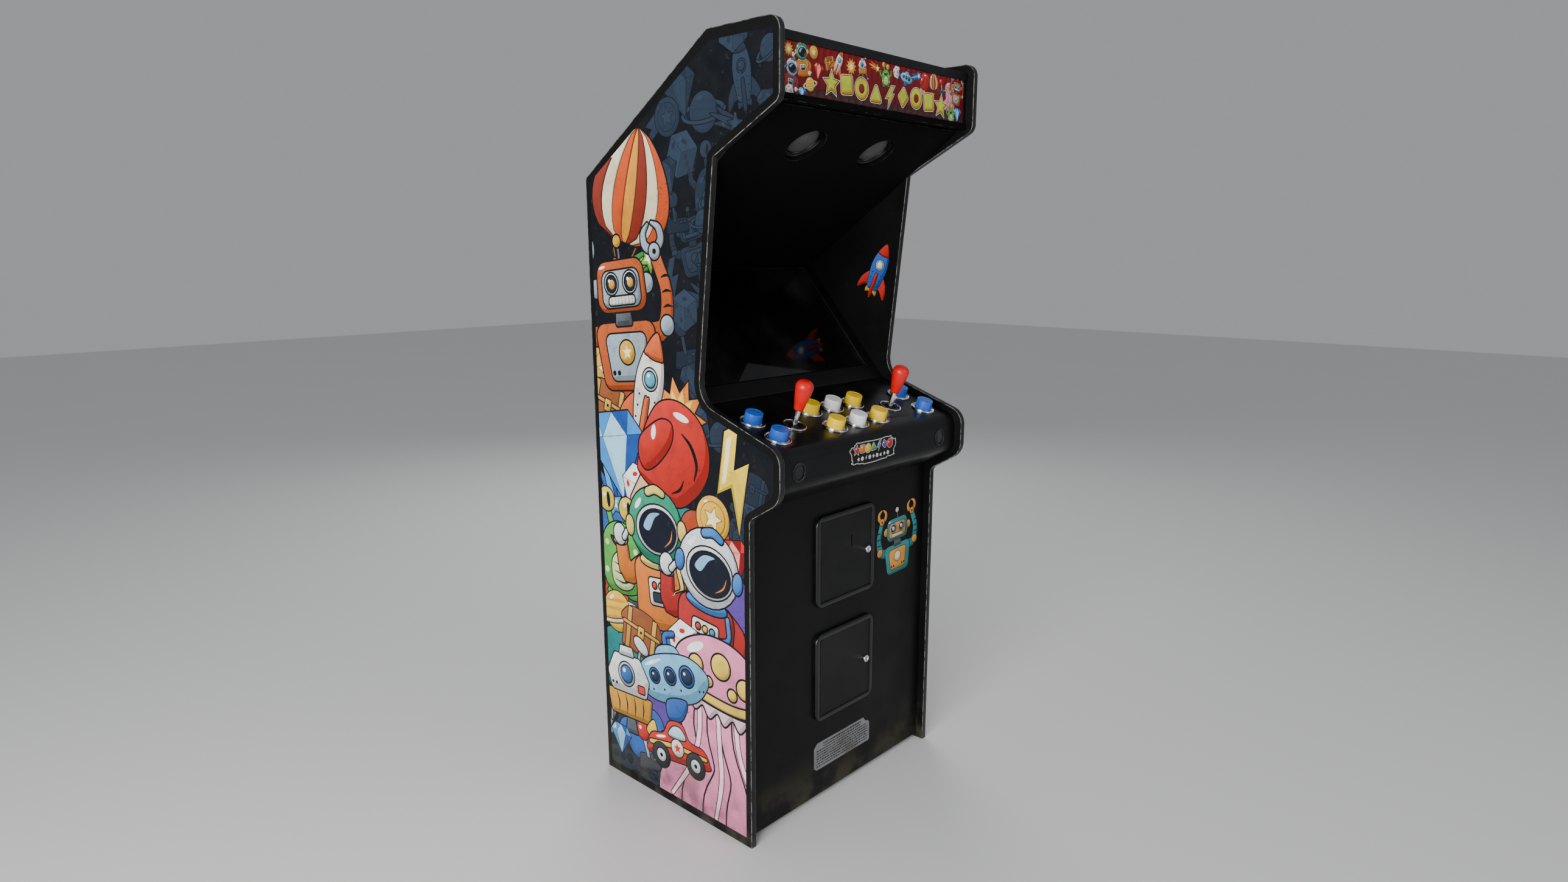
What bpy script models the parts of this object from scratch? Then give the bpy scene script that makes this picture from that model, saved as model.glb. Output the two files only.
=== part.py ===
"""Upright arcade cabinet, modelled as an assembly of separate pieces.

Metres, +Z up. The player stands on the -Y side; +X is to the player's right.
The origin is on the floor, under the middle of the cabinet's overall box.
"""

import math

import bmesh
import bpy
from mathutils import Matrix, Vector

# Driving dimensions of the cabinet.
HEIGHT = 1.800
WIDTH = 0.702
DEPTH = 0.632
BOARD = 0.015          # side, cross and door boards
TRIM = 0.0015          # strip pressed round the side panels' edges
SKIN = 0.004           # folded control panel sheet
GAP = 0.0003           # clearance between touching pieces
MITRE_GAP = 0.0006     # clearance along a mitred joint

FRONT = -DEPTH / 2
BACK = DEPTH / 2
INNER = WIDTH / 2 - BOARD
SPAN = INNER - GAP     # half width of the pieces that fit between the side panels

# Side outline, in the YZ plane.
FOOT_Y = FRONT + 0.090
KICK_TOP_Z = 0.7885
NOSE_LOW_Z = 0.843
NOSE_HIGH_Z = 0.949
ELBOW = Vector((-0.069, 1.033))
NOTCH = Vector((-0.1265, 1.548))
BROW_Z = 1.645
CROWN_Y = -0.113
SHOULDER_Z = 1.527

# How far the fitted pieces lie inside the side outline.
KICK_INSET = 0.0215
PANEL_DROP = 0.016
NOSE_INSET = 0.021
UNDER_INSET = 0.020
TOP_INSET = 0.020
SLOPE_INSET = 0.012
REAR_INSET = 0.006
FLOOR_CLEARANCE = 0.012
BASE_Z = 0.040
FRONT_PANEL_TOP = 0.812

# The screen recess, in the YZ plane: its lower end lies on the control panel.
SCREEN_FOOT_Y = -0.0593
RECESS_CORNER = Vector((0.2046, 1.3169))
BROW_START = Vector((-0.290, 1.6564))

# Control panel layout, measured in its own plane: X across, distance down the slope from the elbow.
BACK_ROW = 0.100
STICK_ROW = 0.145
FRONT_ROW = 0.183
OUTER_BUTTON_X = 0.273
STICK_X = 0.181
INNER_BUTTON_X = 0.080

# Push button, in its own frame: z = 0 on the control panel, +z towards the player's hand.
CAP_RADIUS = 0.021
CAP_TOP = 0.0258
FLANGE_RADIUS = 0.031
CUP_RADIUS = 0.0222
CUP_DEPTH = 0.010
BARREL_RADIUS = 0.0238
NUT_RADIUS = 0.029
STEM_RADIUS = 0.0035
BUTTON_LENGTH = 0.040

# Joystick, in its own frame: z = 0 on the control panel.
PIVOT_DEPTH = 0.020
STICK_RING_RADIUS = 0.029
STICK_HOLE_RADIUS = 0.014
COLLAR_RADIUS = 0.0195
HOUSING_RADIUS = 0.034
HOUSING_BORE = 0.029
HOUSING_DEPTH = 0.036
SHAFT_RADIUS = 0.0065
PIN_RADIUS = 0.0022
PIN_HOLE_RADIUS = 0.0027
GIMBAL_RADIUS = 0.024
GIMBAL_BORE = 0.0165
BAT_LOW = 0.040
BAT_HIGH = 0.113

# Sound holes in the control panel's front face.
SOUND_HOLE_X = 0.268
SOUND_HOLE_RADIUS = 0.0195
SOUND_HOLE_Z = 0.893

# Coin doors in the lower front.
COIN_FRAME_WIDTH = 0.226
COIN_FRAME_HEIGHT = 0.230
COIN_FRAME_RIM = 0.014
COIN_FRAME_PROUD = 0.010
COIN_FRAME_NECK = 0.003
COIN_FRAME_PLAY = 0.001
COIN_DOOR_THICKNESS = 0.008
COIN_DOOR_RECESS = 0.002
COIN_DOOR_CLEARANCE = 0.00075
UPPER_DOOR_Z = 0.626
LOWER_DOOR_Z = 0.330
COIN_LOCK_X = 0.0835
COIN_LOCK_DROP = 0.005
COIN_PIN_RADIUS = 0.0020
COIN_PIN_LENGTH = 0.0050
COIN_ENTRY_X = 0.020
COIN_ENTRY_RISE = 0.031
COIN_SLOT_WIDTH = 0.0035
LOCK_PLUG_RADIUS = 0.0080
PIN_PLAY = 0.0003

# Rear service door.
REAR_OPENING_X = 0.255
REAR_OPENING_LOW = 0.200
REAR_OPENING_HIGH = 1.200
REAR_DOOR_CLEARANCE = 0.0015
REAR_LOCK_X = 0.225
REAR_LOCK_Z = 0.750
REAR_PIN_RADIUS = 0.0030
REAR_PIN_LENGTH = 0.0120
VENT_ROWS = (-0.040, -0.020, 0.0, 0.020, 0.040)

# Mains inlet in the rear frame.
INLET_X = 0.220
INLET_Z = 0.100
INLET_HALF_WIDTH = 0.0155
INLET_HALF_HEIGHT = 0.0130

# Speakers under the head.
SPEAKER_X = 0.125
SPEAKER_ALONG = 0.1098
SPEAKER_HOLE_RADIUS = 0.050
SPEAKER_BOARD = 0.012

# Finishes: colour, roughness, metallic.
BLACK_LAMINATE = ((0.020, 0.020, 0.022), 0.45, 0.0)
BLACK_PLASTIC = ((0.018, 0.018, 0.019), 0.40, 0.0)
BLACK_SHEET = ((0.016, 0.016, 0.018), 0.30, 0.0)
DARK_GLASS = ((0.010, 0.010, 0.012), 0.05, 0.0)
SIGN_FILM = ((0.600, 0.050, 0.040), 0.30, 0.0)
BARE_BOARD = ((0.180, 0.120, 0.070), 0.70, 0.0)
CHROME = ((0.800, 0.800, 0.820), 0.12, 1.0)
STEEL = ((0.550, 0.560, 0.580), 0.30, 1.0)
ALUMINIUM = ((0.650, 0.650, 0.660), 0.35, 1.0)
BLUE = ((0.070, 0.230, 0.620), 0.30, 0.0)
YELLOW = ((0.850, 0.620, 0.060), 0.30, 0.0)
WHITE = ((0.820, 0.820, 0.800), 0.30, 0.0)
RED = ((0.640, 0.030, 0.020), 0.25, 0.0)
LAMP_WHITE = ((0.850, 0.850, 0.820), 0.40, 0.0)
CIRCUIT_GREEN = ((0.030, 0.160, 0.070), 0.50, 0.0)

ROUND_SEGMENTS = 12
SMOOTH_SEGMENTS = 16
ARC_STEP = math.radians(12)


# ---------------------------------------------------------------- plane geometry

def crossing(point_a, direction_a, point_b, direction_b):
    """The point where two lines in a plane cross."""
    along = (point_b - point_a).cross(direction_b) / direction_a.cross(direction_b)
    return point_a + direction_a * along


def offset_corners(corners, distances):
    """Move each edge of an anticlockwise outline inwards; rounded corners stay concentric.

    A corner is (y, z, radius), and distances[i] belongs to the edge from corner i to the next one.
    """
    moved = []
    for index, (y, z, radius) in enumerate(corners):
        here = Vector((y, z))
        arriving = (here - Vector(corners[index - 1][:2])).normalized()
        leaving = (Vector(corners[(index + 1) % len(corners)][:2]) - here).normalized()
        inward_before = Vector((-arriving.y, arriving.x)) * distances[index - 1]
        inward_after = Vector((-leaving.y, leaving.x)) * distances[index]
        point = crossing(here + inward_before, arriving, here + inward_after, leaving)
        if radius > 0:
            turns_left = arriving.cross(leaving) > 0
            radius += -distances[index] if turns_left else distances[index]
        moved.append((point.x, point.y, max(radius, 0.0)))
    return moved


def round_corners(corners):
    """Turn (y, z, radius) corners into points, with an arc at each rounded corner."""
    points = []
    for index, (y, z, radius) in enumerate(corners):
        here = Vector((y, z))
        if radius <= 0:
            points.append(here)
            continue
        to_before = (Vector(corners[index - 1][:2]) - here).normalized()
        to_after = (Vector(corners[(index + 1) % len(corners)][:2]) - here).normalized()
        half_angle = to_before.angle(to_after) / 2
        reach = radius / math.tan(half_angle)
        centre = here + (to_before + to_after).normalized() * radius / math.sin(half_angle)
        first = here + to_before * reach - centre
        last = here + to_after * reach - centre
        start = math.atan2(first.y, first.x)
        sweep = (math.atan2(last.y, last.x) - start + math.pi) % (2 * math.pi) - math.pi
        steps = max(2, round(abs(sweep) / ARC_STEP))
        for step in range(steps + 1):
            angle = start + sweep * step / steps
            points.append(centre + Vector((math.cos(angle), math.sin(angle))) * radius)
    return points


def side_corners():
    """The side outline, anticlockwise from the front foot."""
    return [
        (FOOT_Y, 0.0, 0.0),
        (BACK, 0.0, 0.0),
        (BACK, SHOULDER_Z, 0.012),
        (CROWN_Y, HEIGHT, 0.012),
        (FRONT, HEIGHT, 0.028),
        (FRONT, BROW_Z, 0.025),
        (NOTCH.x, NOTCH.y, 0.004),
        (ELBOW.x, ELBOW.y, 0.060),
        (FRONT, NOSE_HIGH_Z, 0.045),
        (FRONT, NOSE_LOW_Z, 0.050),
        (FOOT_Y, KICK_TOP_Z, 0.020),
    ]


# ---------------------------------------------------------------- derived places

PANEL_DIRECTION = (ELBOW - Vector((FRONT, NOSE_HIGH_Z))).normalized()
PANEL_NORMAL = Vector((-PANEL_DIRECTION.y, PANEL_DIRECTION.x))
PANEL_SLOPE = math.atan2(PANEL_DIRECTION.y, PANEL_DIRECTION.x)
PANEL_ORIGIN = ELBOW - PANEL_NORMAL * PANEL_DROP
UPWARD = Vector((0.0, 1.0))
SCREEN_FOOT = crossing(PANEL_ORIGIN, PANEL_DIRECTION, Vector((SCREEN_FOOT_Y, 0.0)), UPWARD)
SCREEN_LENGTH = (RECESS_CORNER - SCREEN_FOOT).length
SCREEN_SLOPE = math.atan2(RECESS_CORNER.y - SCREEN_FOOT.y, RECESS_CORNER.x - SCREEN_FOOT.x)
BROW_DIRECTION = (RECESS_CORNER - BROW_START).normalized()
BROW_SLOPE = math.atan2(BROW_DIRECTION.y, BROW_DIRECTION.x)
SPEAKER_BOARD_START = BROW_START + BROW_DIRECTION * 0.0192
SPEAKER_BOARD_LENGTH = (RECESS_CORNER - SPEAKER_BOARD_START).length
KICK_Y = FOOT_Y + KICK_INSET
KICK_BACK_Y = KICK_Y + BOARD
NOSE_Y = FRONT + NOSE_INSET
REAR_Y = BACK - REAR_INSET
REAR_INNER_Y = REAR_Y - BOARD
TOP_Z = HEIGHT - TOP_INSET
COIN_OPENING_X = COIN_FRAME_WIDTH / 2 - COIN_FRAME_RIM
COIN_OPENING_Z = COIN_FRAME_HEIGHT / 2 - COIN_FRAME_RIM
COIN_DOOR_Y = KICK_Y - COIN_FRAME_PROUD + COIN_DOOR_RECESS


# ---------------------------------------------------------------- mesh helpers

def add_box(shape, low, high):
    """Add a box between two corners to a bmesh."""
    low = Vector(low)
    high = Vector(high)
    place = Matrix.Translation((low + high) / 2) @ Matrix.Diagonal((*(high - low), 1.0))
    bmesh.ops.create_cube(shape, size=1.0, matrix=place)


def add_cylinder(shape, radius, start, end, segments=ROUND_SEGMENTS):
    """Add a cylinder between two points to a bmesh."""
    start = Vector(start)
    end = Vector(end)
    axis = end - start
    turn = axis.to_track_quat("Z", "Y").to_matrix().to_4x4()
    place = Matrix.Translation((start + end) / 2) @ turn
    bmesh.ops.create_cone(shape, cap_ends=True, segments=segments, radius1=radius, radius2=radius,
                          depth=axis.length, matrix=place)


def boxes(*corner_pairs):
    """A bmesh of boxes."""
    shape = bmesh.new()
    for low, high in corner_pairs:
        add_box(shape, low, high)
    return shape


def prism(outline, low, high, axis="X"):
    """A flat outline carried straight along X (outline in YZ) or along Z (outline in XY)."""
    shape = bmesh.new()
    rings = []
    for level in (low, high):
        if axis == "X":
            places = [(level, point[0], point[1]) for point in outline]
        else:
            places = [(point[0], point[1], level) for point in outline]
        rings.append([shape.verts.new(place) for place in places])
    shape.faces.new(rings[0])
    shape.faces.new(reversed(rings[1]))
    for index in range(len(outline)):
        shape.faces.new((rings[0][index - 1], rings[0][index], rings[1][index], rings[1][index - 1]))
    bmesh.ops.recalc_face_normals(shape, faces=shape.faces)
    return shape


def turned(profile, segments=ROUND_SEGMENTS):
    """A profile of (radius, z) points turned about Z; radius 0 closes an end on the axis."""
    shape = bmesh.new()
    rings = []
    for radius, z in profile:
        count = segments if radius > 0 else 1
        angles = [2 * math.pi * step / segments for step in range(count)]
        rings.append([shape.verts.new((radius * math.cos(a), radius * math.sin(a), z)) for a in angles])
    pairs = list(zip(rings, rings[1:]))
    if profile[0][0] > 0:
        pairs.append((rings[-1], rings[0]))
    for upper, lower in pairs:
        for step in range(segments):
            corners = [upper[step % len(upper)], upper[(step + 1) % len(upper)],
                       lower[(step + 1) % len(lower)], lower[step % len(lower)]]
            shape.faces.new(dict.fromkeys(corners))
    bmesh.ops.recalc_face_normals(shape, faces=shape.faces)
    return shape


# ---------------------------------------------------------------- object helpers

def clear_scene():
    """Remove every object that the file opened with."""
    for thing in list(bpy.data.objects):
        bpy.data.objects.remove(thing, do_unlink=True)


def place(thing, parent=None, location=(0, 0, 0), rotation=(0, 0, 0)):
    """Link an object to the scene and put it in its place."""
    bpy.context.scene.collection.objects.link(thing)
    thing.parent = parent
    thing.location = location
    thing.rotation_euler = rotation
    return thing


def mesh_from(name, shape, smooth=False):
    """Turn a bmesh into a mesh."""
    mesh = bpy.data.meshes.new(name)
    shape.to_mesh(mesh)
    shape.free()
    if smooth:
        mesh.shade_smooth()
        mesh.set_sharp_from_angle(angle=math.radians(35))
    return mesh


def piece(name, shape, finish, smooth=False, **where):
    """One named piece of the cabinet with its own material."""
    colour, roughness, metallic = finish
    material = bpy.data.materials.new(name)
    material.use_nodes = True
    shader = material.node_tree.nodes["Principled BSDF"]
    shader.inputs["Base Color"].default_value = (*colour, 1.0)
    shader.inputs["Roughness"].default_value = roughness
    shader.inputs["Metallic"].default_value = metallic
    mesh = mesh_from(name, shape, smooth)
    mesh.materials.append(material)
    return place(bpy.data.objects.new(name, mesh), **where)


def frame_empty(name, origin, slope):
    """An empty on a sloping plane: its Y runs up the slope and its Z stands off the plane."""
    return place(bpy.data.objects.new(name, None), location=(0.0, origin.x, origin.y),
                 rotation=(slope, 0.0, 0.0))


def boolean(target, shape, operation):
    """Cut a bmesh out of a piece, or join it to the piece; both share the piece's own frame."""
    name = f"{operation.lower()}_{target.name}_{len(target.modifiers)}"
    tool = place(bpy.data.objects.new(name, mesh_from(name, shape)), parent=target.parent,
                 location=target.location, rotation=target.rotation_euler)
    tool.hide_render = True
    tool.display_type = "WIRE"
    modifier = target.modifiers.new(name, "BOOLEAN")
    modifier.operation = operation
    modifier.object = tool
    modifier.solver = "EXACT"
    modifier.use_self = operation == "UNION"


# ---------------------------------------------------------------- carcass

def make_side(name_end, low, high):
    """A side panel and the strip round its edge, between two X positions."""
    outer = side_corners()
    rests_on_floor = 0.0
    around = len(outer) - 1
    strip_inner = offset_corners(outer, [rests_on_floor] + [TRIM] * around)
    board = offset_corners(outer, [rests_on_floor] + [TRIM + GAP] * around)
    piece(f"side_panel_{name_end}", prism(round_corners(board), low, high), BLACK_LAMINATE)
    outer_points = round_corners(outer)
    inner_points = round_corners(strip_inner)
    strip = outer_points[1:] + outer_points[:1] + inner_points[:1] + inner_points[:0:-1]
    piece(f"edge_trim_{name_end}", prism(strip, low, high), BLACK_PLASTIC)


def vent_slots(columns, rows, low_z, high_z):
    """Boxes for a block of ventilation slots; columns and rows are slot centres in X and Y."""
    half_length = 0.055
    half_width = 0.004
    shape = bmesh.new()
    for x in columns:
        for y in rows:
            low = (x - half_length, y - half_width, low_z)
            high = (x + half_length, y + half_width, high_z)
            add_box(shape, low, high)
    return shape


def shell_outlines():
    """Outer and inner corners of the rear, sloping and top boards, from the rear foot upwards."""
    slope_start = Vector((BACK, SHOULDER_Z))
    slope_along = (Vector((CROWN_Y, HEIGHT)) - slope_start).normalized()
    slope_inward = Vector((-slope_along.y, slope_along.x))
    on_slope = slope_start + slope_inward * SLOPE_INSET
    shoulder = crossing(on_slope, slope_along, Vector((REAR_Y, 0.0)), UPWARD)
    crown = crossing(on_slope, slope_along, Vector((0.0, TOP_Z)), Vector((1.0, 0.0)))
    top_front_y = -0.269
    outer = [
        (REAR_Y, FLOOR_CLEARANCE, 0.0),
        (shoulder.x, shoulder.y, 0.0),
        (crown.x, crown.y, 0.0),
        (top_front_y, TOP_Z, 0.0),
        (top_front_y, FLOOR_CLEARANCE, 0.0),
    ]
    return outer, offset_corners(outer, [BOARD, BOARD, BOARD, 0.0, 0.0])


def shell_board(outer, inner, index):
    """The board along one edge of the shell, with a little clearance at both mitres."""
    start = Vector(outer[index][:2])
    end = Vector(outer[index + 1][:2])
    trim = (end - start).normalized() * MITRE_GAP
    outline = [start + trim, end - trim,
               Vector(inner[index + 1][:2]) - trim, Vector(inner[index][:2]) + trim]
    return prism(outline, -SPAN, SPAN)


def make_carcass():
    """Side panels with their edge strips, base, lower front, rear, sloping and top boards."""
    make_side("left", -WIDTH / 2, -INNER)
    make_side("right", INNER, WIDTH / 2)
    base = boxes(((-SPAN, KICK_BACK_Y + GAP, BASE_Z), (SPAN, REAR_INNER_Y - GAP, BASE_Z + BOARD)))
    piece("base_panel", base, BARE_BOARD)
    make_front_panel()
    outer, inner = shell_outlines()
    make_rear_frame(outer, inner)
    make_slope_panel(outer, inner)
    piece("top_panel", shell_board(outer, inner, 2), BLACK_LAMINATE)


def make_front_panel():
    """The lower front board with its two coin door cut-outs."""
    board = boxes(((-SPAN, KICK_Y, FLOOR_CLEARANCE), (SPAN, KICK_BACK_Y, FRONT_PANEL_TOP)))
    front_panel = piece("front_panel", board, BLACK_LAMINATE)
    half_x = COIN_OPENING_X + COIN_FRAME_NECK + COIN_FRAME_PLAY
    half_z = COIN_OPENING_Z + COIN_FRAME_NECK + COIN_FRAME_PLAY
    holes = [((-half_x, KICK_Y - BOARD, z - half_z), (half_x, KICK_Y + 2 * BOARD, z + half_z))
             for z in (UPPER_DOOR_Z, LOWER_DOOR_Z)]
    boolean(front_panel, boxes(*holes), "DIFFERENCE")


def make_rear_frame(outer, inner):
    """The rear board with the service door's opening, its hinge holes and the inlet's cut-out."""
    rear_frame = piece("rear_frame", shell_board(outer, inner, 0), BLACK_LAMINATE)
    opening = ((-REAR_OPENING_X, REAR_INNER_Y - BOARD, REAR_OPENING_LOW),
               (REAR_OPENING_X, REAR_Y + BOARD, REAR_OPENING_HIGH))
    inlet = ((INLET_X - INLET_HALF_WIDTH, REAR_INNER_Y - BOARD, INLET_Z - INLET_HALF_HEIGHT),
             (INLET_X + INLET_HALF_WIDTH, REAR_Y + BOARD, INLET_Z + INLET_HALF_HEIGHT))
    boolean(rear_frame, boxes(opening, inlet), "DIFFERENCE")
    pin_x = -REAR_OPENING_X + REAR_DOOR_CLEARANCE + BOARD / 2
    pin_y = REAR_Y - BOARD / 2
    pin_holes = hinge_pins(pin_x, pin_y, REAR_OPENING_LOW, REAR_OPENING_HIGH,
                           REAR_PIN_RADIUS + PIN_PLAY, REAR_PIN_LENGTH + 0.0025)
    boolean(rear_frame, pin_holes, "DIFFERENCE")


def make_slope_panel(outer, inner):
    """The sloping rear board with its ventilation slots."""
    slope_panel = piece("rear_slope_panel", shell_board(outer, inner, 1), BLACK_LAMINATE)
    middle = (Vector(outer[1][:2]) + Vector(outer[2][:2])) / 2
    slope = math.atan2(outer[1][1] - outer[2][1], outer[1][0] - outer[2][0])
    slots = vent_slots((-0.13, 0.13), VENT_ROWS, -2 * BOARD, BOARD)
    on_slope = Matrix.Translation((0.0, middle.x, middle.y)) @ Matrix.Rotation(slope, 4, "X")
    bmesh.ops.transform(slots, verts=slots.verts, matrix=on_slope)
    boolean(slope_panel, slots, "DIFFERENCE")


# ---------------------------------------------------------------- doors and locks

def hinge_pins(x, y, low_z, high_z, radius, length):
    """Two short upright pins that stick out of a door's ends, or the holes for them."""
    shape = bmesh.new()
    for end_z in (low_z, high_z):
        add_cylinder(shape, radius, (x, y, end_z - length), (x, y, end_z + length))
    return shape


def door_leaf(free_x, thickness, low_z, high_z):
    """A leaf standing between two heights, with a half-round hinge edge about its own Z axis."""
    radius = thickness / 2
    steps = 8
    outline = []
    for step in range(steps + 1):
        angle = math.pi / 2 + math.pi * step / steps
        outline.append((radius * math.cos(angle), radius * math.sin(angle)))
    outline += [(free_x, -radius), (free_x, radius)]
    return prism(outline, low_z, high_z, axis="Z")


def hinge_empty(name, x, y):
    """An empty on a door's pivot line, which the door's pieces are parented to."""
    return place(bpy.data.objects.new(name, None), location=(x, y, 0.0))


def lock_hole(x, z):
    """The hole through a door for a lock's plug."""
    hole = bmesh.new()
    add_cylinder(hole, LOCK_PLUG_RADIUS + 0.0004, (x, -2 * BOARD, z), (x, 2 * BOARD, z))
    return hole


def make_lock(name, depth, reach, **where):
    """A key lock turned about Z: collar in front, plug through the door and cam behind it.

    The cam hangs down, clear of the frame, when it is unlocked.
    """
    collar = 0.0100
    proud = 0.0052
    barrel = turned([(0.0, proud - 0.0010), (0.0062, proud - 0.0010), (0.0070, proud), (0.0088, proud),
                     (collar, proud - 0.0014), (collar, GAP), (LOCK_PLUG_RADIUS, GAP),
                     (LOCK_PLUG_RADIUS, -depth - 0.0030), (0.0, -depth - 0.0030)])
    lock = piece(name, barrel, CHROME, smooth=True, **where)
    cam = boxes(((-0.006, -reach, -depth - 0.0025), (0.006, 0.006, -depth)))
    boolean(lock, cam, "UNION")
    key_slot = boxes(((-0.0005, -0.0040, 0.0), (0.0005, 0.0040, 0.0100)))
    boolean(lock, key_slot, "DIFFERENCE")


def make_coin_frame(name, centre_z):
    """A moulded frame: a proud rounded rim in front of the board and a neck through it."""
    half_x = COIN_FRAME_WIDTH / 2
    half_z = COIN_FRAME_HEIGHT / 2
    corner = 0.025
    outline = round_corners([(-half_x, -half_z, corner), (half_x, -half_z, corner),
                             (half_x, half_z, corner), (-half_x, half_z, corner)])
    rim = prism(outline, GAP, COIN_FRAME_PROUD, axis="Z")
    frame = piece(name, rim, BLACK_PLASTIC, location=(0.0, KICK_Y, centre_z),
                  rotation=(math.pi / 2, 0.0, 0.0))
    neck_x = COIN_OPENING_X + COIN_FRAME_NECK
    neck_z = COIN_OPENING_Z + COIN_FRAME_NECK
    neck_depth = BOARD + 0.002
    boolean(frame, boxes(((-neck_x, -neck_z, -neck_depth), (neck_x, neck_z, 0.004))), "UNION")
    boolean(frame, boxes(((-COIN_OPENING_X, -COIN_OPENING_Z, -2 * BOARD),
                          (COIN_OPENING_X, COIN_OPENING_Z, BOARD))), "DIFFERENCE")
    pin_x = -COIN_OPENING_X + COIN_DOOR_CLEARANCE + COIN_DOOR_THICKNESS / 2
    pin_height = COIN_FRAME_PROUD - COIN_DOOR_RECESS - COIN_DOOR_THICKNESS / 2
    hole_length = COIN_PIN_LENGTH + 0.0005
    holes = bmesh.new()
    for end in (-COIN_OPENING_Z, COIN_OPENING_Z):
        add_cylinder(holes, COIN_PIN_RADIUS + PIN_PLAY, (pin_x, end - hole_length, pin_height),
                     (pin_x, end + hole_length, pin_height))
    boolean(frame, holes, "DIFFERENCE")


def make_coin_door(prefix, centre_z):
    """A coin door leaf on two pins in its frame, with its key lock."""
    axis_x = -COIN_OPENING_X + COIN_DOOR_CLEARANCE + COIN_DOOR_THICKNESS / 2
    axis_y = COIN_DOOR_Y + COIN_DOOR_THICKNESS / 2
    free_x = COIN_OPENING_X - COIN_DOOR_CLEARANCE
    half_z = COIN_OPENING_Z - COIN_DOOR_CLEARANCE
    hinge = hinge_empty(f"{prefix}_door_hinge", axis_x, axis_y)
    low_z = centre_z - half_z
    high_z = centre_z + half_z
    leaf = door_leaf(free_x - axis_x, COIN_DOOR_THICKNESS, low_z, high_z)
    door = piece(f"{prefix}_door", leaf, BLACK_PLASTIC, parent=hinge)
    boolean(door, hinge_pins(0.0, 0.0, low_z, high_z, COIN_PIN_RADIUS, COIN_PIN_LENGTH), "UNION")
    lock_x = COIN_LOCK_X - axis_x
    lock_z = centre_z - COIN_LOCK_DROP
    boolean(door, lock_hole(lock_x, lock_z), "DIFFERENCE")
    cam_depth = KICK_BACK_Y + 0.0030 - COIN_DOOR_Y
    make_lock(f"{prefix}_door_lock", cam_depth, 0.028, parent=hinge,
              location=(lock_x, -COIN_DOOR_THICKNESS / 2, lock_z), rotation=(math.pi / 2, 0.0, 0.0))
    return hinge, door


def make_coin_entry(hinge, door):
    """The pocket and coin slot in the upper door, and the coin mechanism behind it."""
    x = COIN_ENTRY_X - hinge.location.x
    z = UPPER_DOOR_Z + COIN_ENTRY_RISE
    front_y = -COIN_DOOR_THICKNESS / 2
    back_y = COIN_DOOR_THICKNESS / 2 + GAP
    half_slot = COIN_SLOT_WIDTH / 2
    half_coin = 0.015
    pocket = ((x - 0.022, front_y - 0.001, z - 0.026), (x + 0.022, front_y + 0.004, z + 0.026))
    slot = ((x - half_slot, front_y - 0.001, z - half_coin), (x + half_slot, BOARD, z + half_coin))
    boolean(door, boxes(pocket, slot), "DIFFERENCE")
    body = ((x - 0.024, back_y, z - 0.105), (x + 0.020, back_y + 0.062, z + 0.028))
    mechanism = piece("coin_mechanism", boxes(body), STEEL, parent=hinge)
    chute = ((x - 0.020, back_y + 0.010, z - 0.120), (x + 0.016, back_y + 0.034, z - 0.100))
    boolean(mechanism, boxes(chute), "UNION")
    path = ((x - half_slot, back_y - 0.001, z - half_coin), (x + half_slot, back_y + 0.050, z + half_coin))
    boolean(mechanism, boxes(path), "DIFFERENCE")


def make_coin_doors():
    """The upper door with the coin entry, and the plain lower door in front of the cash box."""
    make_coin_frame("upper_door_frame", UPPER_DOOR_Z)
    make_coin_frame("lower_door_frame", LOWER_DOOR_Z)
    hinge, door = make_coin_door("upper", UPPER_DOOR_Z)
    make_coin_entry(hinge, door)
    make_coin_door("lower", LOWER_DOOR_Z)


def make_rear_door():
    """The hinged service door in the rear frame, with vents and a key lock."""
    axis_x = -REAR_OPENING_X + REAR_DOOR_CLEARANCE + BOARD / 2
    low_z = REAR_OPENING_LOW + REAR_DOOR_CLEARANCE
    high_z = REAR_OPENING_HIGH - REAR_DOOR_CLEARANCE
    free_x = REAR_OPENING_X - REAR_DOOR_CLEARANCE
    hinge = hinge_empty("rear_door_hinge", axis_x, REAR_Y - BOARD / 2)
    leaf = door_leaf(free_x - axis_x, BOARD, low_z, high_z)
    door = piece("rear_door", leaf, BLACK_LAMINATE, parent=hinge)
    boolean(door, hinge_pins(0.0, 0.0, low_z, high_z, REAR_PIN_RADIUS, REAR_PIN_LENGTH), "UNION")
    lock_x = REAR_LOCK_X - axis_x
    boolean(door, lock_hole(lock_x, REAR_LOCK_Z), "DIFFERENCE")
    for height in (0.360, 1.080):
        slots = vent_slots((-axis_x - 0.075, -axis_x + 0.075), VENT_ROWS, -2 * BOARD, 2 * BOARD)
        upright = Matrix.Translation((0.0, 0.0, height)) @ Matrix.Rotation(math.pi / 2, 4, "X")
        bmesh.ops.transform(slots, verts=slots.verts, matrix=upright)
        boolean(door, slots, "DIFFERENCE")
    make_lock("rear_door_lock", BOARD + 0.0010, 0.045, parent=hinge,
              location=(lock_x, BOARD / 2, REAR_LOCK_Z), rotation=(math.pi / 2, 0.0, math.pi))


# ---------------------------------------------------------------- control panel

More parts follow.
